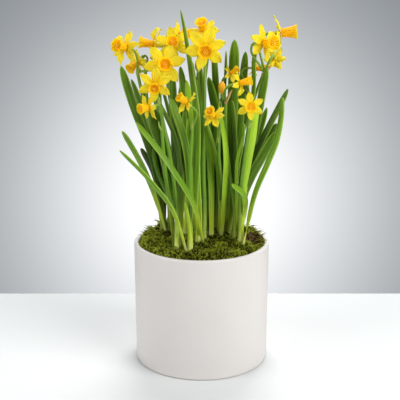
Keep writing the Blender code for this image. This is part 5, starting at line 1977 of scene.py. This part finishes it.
@dataclass
class Spathe:
    """The thin dry sheath at a fork: a boat-shaped shell that ends in a free point.

    Attributes:
        foot: where it starts on the stem.
        aim: the way that it points.
        length: from foot to point.
        radius: half its width at its widest.
        wrap: how far it wraps round to each side, in radians.
        rows: points along it.
        columns: points across it.
        thickness: of its shell.
    """

    foot: np.ndarray
    aim: np.ndarray
    length: float
    radius: float
    wrap: float = 1.9
    rows: int = 12
    columns: int = 11
    thickness: float = 0.3

    def add_to(self, shape: Shape, draw: random.Random, dryness: float) -> None:
        """Add the spathe to a plant's spathes.

        Args:
            shape: the mesh that it joins.
            draw: gives it its own crumple.
            dryness: from 0, green, to 1, tan paper.
        """
        aim = unit(self.aim)
        side = unit(np.cross(aim, (0.2, 0.9, 0.35)))
        other = np.cross(aim, side)
        share = np.linspace(0.0, 1.0, self.rows)
        radius = self.radius * np.interp(share, (0.0, 0.3, 0.6, 0.85, 1.0), (0.8, 1.0, 0.8, 0.4, 0.04))
        angle = np.linspace(-self.wrap, self.wrap, self.columns)
        grids = []
        phase = draw.uniform(0.0, 6.0)
        for offset in (0.5 * self.thickness, -0.5 * self.thickness):
            wave = 0.3 * np.sin(7.0 * share[:, None] + 2.0 * angle + phase) * share[:, None]
            reach = (radius[:, None] + wave) * np.ones(self.columns) + offset
            reach = np.maximum(reach, 0.06)
            grids.append(self.foot + aim * (self.length * share)[:, None, None]
                         + side * (reach * np.cos(angle))[..., None]
                         + other * (reach * np.sin(angle))[..., None])
        shape.add_sheet(*grids, (angle / self.wrap, share[:, None]), dryness=dryness)


@dataclass
class Plant:
    """One bulb's growth: its leaves and sheaths, its stems, and the spathes at its forks.

    Attributes:
        letter: its letter.
        bouquet: all that grows in the pot.
        stem_sides: corners round a stem.
        stem_step: distance between points along a stem.
        stem_foot: the height of a stem's foot, under the moss.
        sheath_sides: corners round a sheath.
        sheath_profile: heights and radii of a sheath.
        front_tone: usual tone of a leaf at the front of the clump.
        painted_back_shade: how much darker a leaf at the back is, as painted shade.
        tone_spread: how far a leaf's tone may differ from the usual.
        clump_depth: from the middle of the clump to its front or back.
        spathe_drop: how far below its fork a spathe starts.
    """

    letter: str
    bouquet: Bouquet
    stem_sides: int = 12
    stem_step: float = 5.0
    stem_foot: float = 143.0
    sheath_sides: int = 16
    sheath_profile: Profile = ((141.0, 3.3), (148.0, 3.2), (155.0, 3.0), (161.0, 2.7), (166.0, 2.3),
                               (170.0, 1.8), (173.0, 1.1), (174.0, 0.4))
    front_tone: float = 0.62
    painted_back_shade: float = 0.66
    tone_spread: float = 0.4
    clump_depth: float = 45.0
    spathe_drop: float = 5.0

    def foliage(self) -> bpy.types.Object:
        """Build the plant's leaves and sheaths.

        Returns:
            The leaves and sheaths, as one mesh.
        """
        draw = random.Random(ord(self.letter))
        shape = Shape()
        layers: dict[str, int] = {}
        for row, strand in zip(LEAVES, self.bouquet.leaves):
            if strand.plant == self.letter:
                layers[row[0]] = layers.get(row[0], -1) + 1
                # Leaves at the back of the clump are darker: painted shade
                back = smooth_step(float(strand.stations[3:, 1].mean()), -self.clump_depth, self.clump_depth)
                tone = self.front_tone - self.painted_back_shade * float(back)
                tone += draw.uniform(-self.tone_spread, self.tone_spread)
                tone = min(1.0, max(0.0, LEAF_TONES.get((row[0], layers[row[0]]), tone)))
                breadth = LEAF_BREADTHS.get((row[0], layers[row[0]]), USUAL_LEAF_BREADTH)
                LeafBlade(strand, SHOOTS[row[0]], tone, layers[row[0]], breadth=breadth).add_to(shape)
        for strand in self.bouquet.sheaths:
            if strand.plant == self.letter:
                self.add_sheath(shape, strand)
        return shape.make(f"plant_{self.letter.lower()}_leaves", LEAF, "strap")

    def add_sheath(self, shape: Shape, strand: Strand) -> None:
        """Add the pale sheath that holds a shoot's leaves together at the moss.

        Args:
            shape: the mesh that it joins.
            strand: the sheath's middle line.
        """
        x, y, _ = strand.stations[1]
        heights, radii = np.array(self.sheath_profile).T
        sides = self.sheath_sides
        corners = sweep(np.array([(x, y, height) for height in heights]), radii, sides)
        angles = np.tile(np.arange(sides) / sides * 2.0 * math.pi * 5.0, len(heights))
        flat = np.stack((angles, np.repeat(heights, sides)), axis=1)
        # Sheaths at the back of the clump are darker: painted shade
        tone = 0.75 - 0.7 * float(smooth_step(float(y), -50.0, 30.0))
        shape.add(corners, turned_faces(len(heights), sides), flat=flat, tone=tone, rim=0.0)

    def stems(self) -> bpy.types.Object:
        """Sweep the plant's scapes and stalks along their paths.

        Returns:
            The stems, as one mesh.
        """
        paths = []
        for strand in self.bouquet.stems:
            if strand.plant == self.letter:
                run = np.linalg.norm(np.diff(strand.stations, axis=0), axis=1)
                count = max(8, int(run.sum() / self.stem_step)) if strand.own is None else 22
                share = np.linspace(0.0, 1.0, count)
                places = strand.stations
                if strand.own is None:
                    places = np.concatenate(([(*places[0][:2], self.stem_foot)], places[1:]))
                points = smooth_path(places, share)
                at = np.concatenate(([0.0], np.cumsum(run))) / run.sum()
                radii = 0.5 * np.interp(share, at, strand.widths)
                if strand.own is not None:
                    radii *= np.interp(share, (0.0, 0.3, 0.7, 0.9), (1.0, 0.8, 0.8, 1.0))
                    radii[1:-1] = 0.25 * radii[:-2] + 0.5 * radii[1:-1] + 0.25 * radii[2:]
                    for _ in range(8):
                        points[1:-5] = 0.25 * points[:-6] + 0.5 * points[1:-5] + 0.25 * points[2:-4]
                paths.append((points, radii, False))
        return swept_paths(f"plant_{self.letter.lower()}_stems", paths, self.stem_sides, STEM)

    def spathes(self) -> bpy.types.Object | None:
        """Build the dry spathes at the plant's forks.

        Returns:
            The spathes, as one mesh, or nothing for a plant without forks.
        """
        draw = random.Random(50 + ord(self.letter))
        shape = Shape()
        for row, strand in zip(SCAPES, self.bouquet.forks):
            if strand.plant == self.letter:
                top = strand.stations[-1]
                run = unit(top - strand.stations[-2])
                lean = draw.uniform(0.0, 2.0 * math.pi)
                many = len(row[3]) > 2
                aim = run + 0.5 * np.array((0.9, -0.3, 0.1) if many else (math.cos(lean), -0.4, 0.1))
                length = draw.uniform(17.0, 20.0) if many else draw.uniform(9.0, 12.0)
                radius = draw.uniform(2.6, 3.0) if many else draw.uniform(2.0, 2.4)
                spathe = Spathe(top - self.spathe_drop * run, aim, length, radius)
                spathe.add_to(shape, draw, 1.0 if many else 0.05)
        if not shape.count:
            return None
        return shape.make(f"plant_{self.letter.lower()}_spathes", PAPER, "petal")

    def build(self) -> None:
        """Build and dress the plant."""
        place_piece(self.foliage(), Slot.LEAF, (f"plant_{self.letter.lower()}",))
        if any(strand.plant == self.letter for strand in self.bouquet.stems):
            place_piece(self.stems(), Slot.LEAF)
        spathes = self.spathes()
        if spathes is not None:
            place_piece(spathes, Slot.LEAF)


# The flowers


@dataclass
class Bloom:
    """One open daffodil: two whorls of three petals, a frilled trumpet, and its stamens.

    Attributes:
        flower: its settled place and sizes.
        index: its number among all flowers, which starts its random draws.
        petal_rows: points along a petal.
        petal_columns: points across a petal.
        petal_thickness: thickness of a petal along its middle.
        trumpet_sides: points round the trumpet.
        trumpet_wall: thickness of the trumpet's wall at its foot.
        throat_floor: where the hollow of the trumpet ends, as a share of its length.
        tube_sides: points round the floral tube.
        tube_rings: rows of points along it.
        petal_jitter: how far a petal's turn may differ from even, in degrees.
        petal_twist: the most that one edge of a petal stands in front of the other.
        petal_wave: height of the waves in a petal's edge, as a share of the flower's radius.
    """

    flower: Flower
    index: int
    petal_rows: int = 16
    petal_columns: int = 11
    petal_thickness: float = 0.5
    trumpet_sides: int = 72
    trumpet_wall: float = 0.9
    throat_floor: float = 0.76
    tube_sides: int = 18
    tube_rings: int = 8
    petal_jitter: float = 4.0
    petal_twist: float = 0.9
    petal_wave: float = 0.055

    outline: ClassVar[Profile] = (
        (0.07, 0.08), (0.2, 0.165), (0.35, 0.235), (0.5, 0.28), (0.62, 0.285), (0.74, 0.24), (0.84, 0.172),
        (0.92, 0.098), (0.97, 0.045), (1.0, 0.01))
    trumpet_profile: ClassVar[Profile] = (
        (0.0, 0.58), (0.3, 0.62), (0.55, 0.7), (0.75, 0.8), (0.88, 0.9), (0.96, 0.97), (1.0, 1.0))

    def petals(self) -> bpy.types.Object:
        """Build the six petals and the floral tube behind them.

        Returns:
            The petals, as one mesh.
        """
        flower, radius = self.flower, self.flower.radius
        draw = random.Random(100 + self.index)
        ripple = random.Random(500 + self.index)
        shape = Shape()
        for k in range(6):
            jitter = math.radians(draw.uniform(-self.petal_jitter, self.petal_jitter))
            angle = flower.roll + k * math.pi / 3.0 + jitter
            length = radius * draw.uniform(0.94, 1.03)
            drop = -OUTER_WHORL_DROP if k % 2 else 0.0
            curl = draw.uniform(-2.5, 2.0) - PETAL_REFLEXES.get(flower.name, 0.0)
            twist = draw.uniform(-self.petal_twist, self.petal_twist)
            breadth = PETAL_BREADTHS.get(flower.name, USUAL_BREADTH) * (1.06 if k % 2 else 0.96)
            more = PETAL_TWISTS.get(flower.name, 1.0)
            wave = self.petal_wave * min(more, 1.3)
            self.add_petal(shape, angle, length, drop, curl, more * twist, ripple, breadth, wave)
        sides, rings = self.tube_sides, self.tube_rings
        share = np.linspace(0.0, 1.0, rings)
        tube_radius = radius * np.interp(share, (0.0, 0.35, 0.8, 1.0),
                                         (HUB_SHARE * 0.9, 0.13, TUBE_END_SHARE, 0.095))
        angles = 2.0 * math.pi * np.arange(sides) / sides
        ring = np.stack((np.cos(angles), np.sin(angles)), axis=1)
        rows = [np.column_stack((ring * r, np.full(sides, -0.4 - (flower.tube - 0.4) * s)))
                for r, s in zip(tube_radius, share)]
        shape.add(flower.world(np.concatenate(rows)), turned_faces(rings, sides),
                  reach=-np.repeat(share, sides))
        return shape.make(f"bloom_{flower.name}_tepals", TEPAL, "petal")

    def add_petal(self, shape: Shape, angle: float, length: float, drop: float, curl: float, twist: float,
                  ripple: random.Random, breadth: float, wave: float) -> None:
        """Add one petal.

        Args:
            shape: the mesh that it joins.
            angle: its turn about the flower's axis.
            length: from the axis to its tip.
            drop: how far behind the face it starts.
            curl: how far its tip bends forward.
            twist: how far one edge stands in front of the other.
            ripple: gives it its own waves.
            breadth: its width over that of the outline.
            wave: height of the waves in its edges, as a share of the flower's radius.
        """
        radius = self.flower.radius
        shares, widths = zip(*self.outline)
        s = shares[0] + (1.0 - shares[0]) * (1.0 - (1.0 - np.linspace(0.0, 1.0, self.petal_rows)) ** 1.3)
        u = np.linspace(-1.0, 1.0, self.petal_columns)
        half_width = breadth * radius * np.interp(s, shares, widths)
        half_width[1:-1] = 0.2 * half_width[:-2] + 0.6 * half_width[1:-1] + 0.2 * half_width[2:]
        lift = drop * np.minimum(1.0, np.maximum(0.0, s - 0.1) / 0.22)
        lift += curl * np.maximum(0.0, s - HUB_SHARE) ** 2
        lift -= 0.09 * radius * (1.0 - smooth_step(s, 0.07, 0.24))
        waves, phase = ripple.uniform(0.8, 1.6), ripple.uniform(0.0, 6.0)
        cup = ripple.uniform(-0.03, 0.1)
        z = lift[:, None] - twist * u * smooth_step(s, 0.3, 0.6)[:, None]
        z = z + cup * radius * u ** 2 * np.sin(math.pi * s)[:, None]
        z = z - 0.022 * radius * (np.exp(-(u / 0.14) ** 2) * np.sin(math.pi * np.minimum(1.0, s))[:, None])
        z = z + 0.012 * radius * np.cos(3.0 * math.pi * u) * smooth_step(s, 0.2, 0.5)[:, None]
        edge_wave = np.sin(2.0 * math.pi * waves * s[:, None] + phase + (u > 0.0) * 1.7)
        z = z + wave * radius * edge_wave * u ** 2 * smooth_step(s, 0.3, 0.7)[:, None]
        out = length * s[:, None] * np.ones_like(u)
        side = half_width[:, None] * u
        x = out * math.cos(angle) + side * math.sin(angle)
        y = out * math.sin(angle) - side * math.cos(angle)
        half = 0.5 * self.petal_thickness * (1.0 - 0.55 * u ** 2)
        front, back = (self.flower.world(np.stack((x, y, z + way * half), axis=-1)) for way in (1.0, -1.0))
        shape.add_sheet(front, back, (0.5 * (u + 1.0), s[:, None] + 3.0 * (phase % 1.0)), reach=s[:, None])

    def trumpet(self) -> bpy.types.Object:
        """Build the trumpet: a thin hollow cup, frilled and folded at its mouth.

        Returns:
            The trumpet.
        """
        flower = self.flower
        draw = random.Random(700 + self.index)
        sides = self.trumpet_sides
        shares, widths = zip(*self.trumpet_profile)
        share = np.linspace(0.0, 1.0, 14) ** 0.85
        radius = flower.mouth * np.interp(share, shares, widths)
        wall = np.interp(share, (0.0, 1.0), (self.trumpet_wall, 0.45))
        theta = 2.0 * math.pi * np.arange(sides) / sides
        phases = [draw.uniform(0.0, 6.3) for _ in range(5)]
        counts = (6, 11 + draw.randrange(3), 19 + draw.randrange(4))
        frill = 0.045 * np.cos(counts[0] * theta + phases[0]) + 0.04 * np.cos(counts[1] * theta + phases[1])
        frill += 0.02 * np.cos(counts[2] * theta + phases[2])
        ruffle = 0.025 * np.sin(counts[1] * theta + phases[3]) + 0.02 * np.sin(counts[2] * theta + phases[4])
        folds = 0.022 * np.cos(12.0 * theta + phases[0])
        start = 0.5 * PETAL_THICKNESS + FIT_GAP
        rows, reach, flat = [], [], []
        walls = [(s, r, 0.0) for s, r in zip(share, radius)]
        deepest = self.throat_floor
        inner = deepest + (1.0 - deepest) * share
        walls += [(s, r - w, 1.0) for s, r, w in
                  list(zip(inner, flower.mouth * np.interp(inner, shares, widths), wall))[::-1]]
        for s, r, inside in walls:
            grown = float(smooth_step(s, 0.5, 1.0))
            around = r + flower.mouth * (frill * grown + folds * math.sin(math.pi * min(1.0, 0.15 + 0.8 * s)))
            along = start + s * flower.length + flower.length * ruffle * grown
            rows.append(np.column_stack((around * np.cos(theta), around * np.sin(theta),
                                         along + np.zeros(sides))))
            reach.append(np.full(sides, s if not inside else 1.0 + (1.0 - s) / (1.0 - deepest)))
            flat.append(np.column_stack((theta / (2.0 * math.pi), np.full(sides, s))))
        shape = Shape()
        shape.add(flower.world(np.concatenate(rows)), turned_faces(len(walls), sides),
                  flat=np.concatenate(flat), reach=np.concatenate(reach))
        return shape.make(f"bloom_{flower.name}_corona", TRUMPET, "petal")

    def stamens(self) -> bpy.types.Object:
        """Repeat six stamens round a style, about the flower's axis.

        Returns:
            The stamens and the style, as one mesh.
        """
        flower = self.flower
        recipe = Recipe(f"bloom_{flower.name}_stamens", POLLEN, {
            "Count": 6, "Ring Radius": 0.27 * flower.mouth * MM, "Filament Height": 0.1 * flower.length * MM,
            "Anther Length": 0.13 * flower.length * MM, "Anther Radius": 0.07 * flower.mouth * MM + 0.0002,
            "Style Height": 0.24 * flower.length * MM})
        given, node = recipe.given, recipe.node
        filament_height, style_height = given["Filament Height"], given["Style Height"]
        half = node("ShaderNodeMath", {"operation": "MULTIPLY"}, {0: given["Anther Length"], 1: 0.5})[0]
        fat = node("ShaderNodeCombineXYZ", inputs={"X": given["Anther Radius"], "Y": given["Anther Radius"],
                                                   "Z": half})[0]
        ball = node("GeometryNodeMeshUVSphere", inputs={"Segments": 8, "Rings": 6, "Radius": 1.0})["Mesh"]
        knob = node("GeometryNodeMeshUVSphere", inputs={"Segments": 8, "Rings": 6, "Radius": 0.0007})["Mesh"]
        filament = node("GeometryNodeMeshCylinder", inputs={"Vertices": 6, "Radius": 0.0002,
                                                            "Depth": filament_height})["Mesh"]
        style = node("GeometryNodeMeshCylinder", inputs={"Vertices": 8, "Radius": 0.00035,
                                                         "Depth": style_height})["Mesh"]
        raised = []
        # Each part stands on the throat's floor: rods from their foot, and balls on the rods' tops
        for part, height, share, scale in ((ball, filament_height, 1.0, {"Scale": fat}),
                                           (filament, filament_height, 0.5, {}),
                                           (style, style_height, 0.5, {}), (knob, style_height, 1.0, {})):
            rise = node("ShaderNodeMath", {"operation": "MULTIPLY"}, {0: height, 1: share})[0]
            lift = node("ShaderNodeCombineXYZ", inputs={"Z": rise})[0]
            raised.append(node("GeometryNodeTransform", inputs={"Geometry": part, "Translation": lift,
                                                                **scale})[0])
        anther = node("GeometryNodeStoreNamedAttribute", {"data_type": "FLOAT"},
                      {"Geometry": raised[0], "Name": "pollen", "Value": 1.0})["Geometry"]
        one = node("GeometryNodeJoinGeometry", inputs={0: [anther, raised[1]]})[0]
        ring = node("GeometryNodeMeshCircle", inputs={"Vertices": given["Count"],
                                                      "Radius": given["Ring Radius"]})[0]
        turned = node("FunctionNodeAlignRotationToVector", {"axis": "X"},
                      {"Vector": node("GeometryNodeInputPosition")[0]})[0]
        repeated = node("GeometryNodeInstanceOnPoints", inputs={"Points": ring, "Instance": one,
                                                                "Rotation": turned})["Instances"]
        recipe.close(node("GeometryNodeJoinGeometry", inputs={0: [repeated, *raised[2:]]})[0])
        item = recipe.run(linked("stamen_start", bpy.data.meshes.new("stamen_start")))
        frame = Matrix((flower.right, flower.up, flower.axis)).transposed().to_4x4()
        floor = 0.5 * PETAL_THICKNESS + FIT_GAP + self.throat_floor * flower.length
        base = flower.place(0.0, 0.0, floor - 0.3)
        item.data.transform(Matrix.Translation(Vector(base) * MM) @ frame)
        return item

    def build(self) -> None:
        """Build and dress the bloom."""
        name = self.flower.name
        place_piece(self.petals(), Slot.PETAL, (f"bloom_{name}_petals",))
        place_piece(self.trumpet(), Slot.TRUMPET, (f"bloom_{name}_trumpet",))
        place_piece(self.stamens(), Slot.TRUMPET)


@dataclass
class Bud:
    """A closed bud, pointed, with the seams of its three outer petals.

    Attributes:
        flower: its settled place and sizes.
        sides: points round it.
        rings: rows of points from its foot to its tip.
    """

    flower: Flower
    sides: int = 24
    rings: int = 14

    profile: ClassVar[Profile] = (
        (0.0, 0.4), (0.12, 0.66), (0.3, 0.86), (0.55, 1.0), (0.75, 0.84), (0.9, 0.5), (1.0, 0.08))

    def build(self) -> None:
        """Build and dress the bud."""
        flower = self.flower
        finish = TEPAL_BUD if flower.axis[2] > 0.0 else BUD_SKIN
        shares, swells = zip(*self.profile)
        theta = 2.0 * math.pi * np.arange(self.sides) / self.sides
        seam = 1.0 - 0.08 * np.abs(np.cos(1.5 * theta)) ** 6
        rows = []
        for share in np.linspace(0.0, 1.0, self.rings):
            radius = flower.radius * np.interp(share, shares, swells) * seam
            rows.append(np.column_stack((radius * np.cos(theta), radius * np.sin(theta),
                                         np.full(self.sides, share * flower.length))))
        shape = Shape()
        shape.add(flower.world(np.concatenate(rows)), turned_faces(self.rings, self.sides))
        place_piece(shape.make(f"bud_{flower.name}_body", finish), Slot.PETAL, (f"bud_{flower.name}",))


# The studio


@dataclass
class Studio:
    """A pale tabletop, a soft grey-white surround, three soft lamps and the camera.

    Attributes:
        camera_place: where the camera stands, in metres.
        camera_pitch: how far it looks down, in degrees.
        focal_length: of a lens over a 36 mm sensor.
        table_back: where the tabletop ends behind the pot, in metres.
        table_reach: how far it goes to each side and to the front, in metres.
        table_thickness: of the tabletop, in metres.
        surround_edge: colour of the surround far from the pot.
        surround_glow: colour of the surround behind the pot.
        glow_reach: how far the glow spreads, as a distance between directions.
        dim_strength: strength of the light at the edge.
        glow_strength: strength of the light in the glow.
        lamp_aim: the place that the lamps look at, in metres.
        lamps: for each, its place, its energy in watts and its size, in metres.
    """

    camera_place: Place = (-0.0019, -0.9596, 0.4459)
    camera_pitch: float = 14.447
    focal_length: float = 73.5
    table_back: float = 0.205
    table_reach: float = 2.5
    table_thickness: float = 0.03
    surround_edge: str = "#f0f8ff"
    surround_glow: str = "#ffffff"
    glow_reach: float = 0.222
    dim_strength: float = 0.23
    glow_strength: float = 1.15
    lamp_aim: Place = (0.0, 0.0, 0.2)
    lamps: tuple[tuple[Place, float, float], ...] = (
        ((1.3, -1.0, 1.3), 36.0, 1.2),
        ((-1.5, -0.7, 1.1), 19.0, 1.2),
        ((0.1, 0.9, 1.5), 24.0, 0.9),
    )

    def build(self) -> None:
        """Set up the table, the light and the camera."""
        self.table()
        self.surround()
        for place, energy, size in self.lamps:
            self.lamp(place, energy, size)
        self.camera()

    def table(self) -> None:
        """Lay the tabletop, whose far edge the camera sees behind the pot."""
        mesh = bpy.data.meshes.new("tabletop")
        work = bmesh.new()
        bmesh.ops.create_cube(work, size=1.0)
        reach, back = self.table_reach, self.table_back
        depth = reach + back
        bmesh.ops.scale(work, vec=(2.0 * reach, depth, self.table_thickness), verts=work.verts)
        bmesh.ops.translate(work, vec=(0.0, back - 0.5 * depth, -0.5 * self.table_thickness),
                            verts=work.verts)
        bmesh.ops.bevel(work, geom=work.edges[:], offset=0.002, segments=3, affect="EDGES")
        work.to_mesh(mesh)
        work.free()
        mesh.materials.append(TABLETOP.material())
        item = linked("tabletop", mesh)

    def surround(self) -> None:
        """Light the surround: pale behind the pot, grey further out."""
        world = bpy.data.worlds.new("studio")
        world.use_nodes = True
        bpy.context.scene.world = world
        tree = world.node_tree
        tree.nodes.clear()
        node = partial(add_node, tree)
        direction = node("ShaderNodeTexCoord")["Generated"]
        pitch = math.radians(-self.camera_pitch)
        glow = (0.0, math.cos(pitch), math.sin(pitch))
        apart = node("ShaderNodeVectorMath", {"operation": "DISTANCE"}, {0: direction, 1: glow})
        squared = node("ShaderNodeMath", {"operation": "MULTIPLY"}, {0: apart["Value"], 1: apart["Value"]})
        falling = node("ShaderNodeMath", {"operation": "MULTIPLY"},
                       {0: squared[0], 1: -1.0 / self.glow_reach ** 2})
        bell = node("ShaderNodeMath", {"operation": "EXPONENT"}, {0: falling[0]})
        strength = node("ShaderNodeMapRange", inputs={"Value": bell[0], "To Min": self.dim_strength,
                                                      "To Max": self.glow_strength})
        colour = node("ShaderNodeMix", {"data_type": "RGBA"}, {MIX_FACTOR: bell[0],
                                                               MIX_FROM: self.surround_edge,
                                                               MIX_TO: self.surround_glow})
        light = node("ShaderNodeBackground", inputs={"Color": colour[MIX_RESULT], "Strength": strength[0]})
        node("ShaderNodeOutputWorld", inputs={"Surface": light[0]})

    def lamp(self, place: Place, energy: float, size: float) -> None:
        """Hang one square soft lamp that looks at the plant.

        Args:
            place: where it hangs, in metres.
            energy: its power in watts.
            size: its width in metres.
        """
        data = bpy.data.lights.new("soft_lamp", "AREA")
        data.energy = energy
        data.size = size
        item = linked("soft_lamp", data)
        item.location = place
        aim = Vector(self.lamp_aim) - Vector(place)
        item.rotation_euler = aim.to_track_quat("-Z", "Y").to_euler()

    def camera(self) -> None:
        """Stand the camera where the view of the front is taken from."""
        data = bpy.data.cameras.new("camera")
        data.lens = self.focal_length
        data.sensor_width = 36.0
        item = linked("camera", data)
        item.location = self.camera_place
        item.rotation_euler = (math.radians(90.0 - self.camera_pitch), 0.0, 0.0)
        bpy.context.scene.camera = item
        bpy.context.scene.view_settings.view_transform = "Standard"


def main() -> None:
    """Build the looks around the frame."""
    logging.basicConfig(level=logging.INFO, format="%(message)s")
    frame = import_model()
    bouquet = Bouquet()
    Pot().build()
    MossBed().build()
    dress_buried(frame["nodes"])
    for letter in plant_letters():
        Plant(letter, bouquet).build()
    for index, flower in enumerate(bouquet.flowers.values()):
        if flower.bud:
            Bud(flower).build()
        else:
            Bloom(flower, index).build()
    Studio().build()


if __name__ == "__main__":
    main()
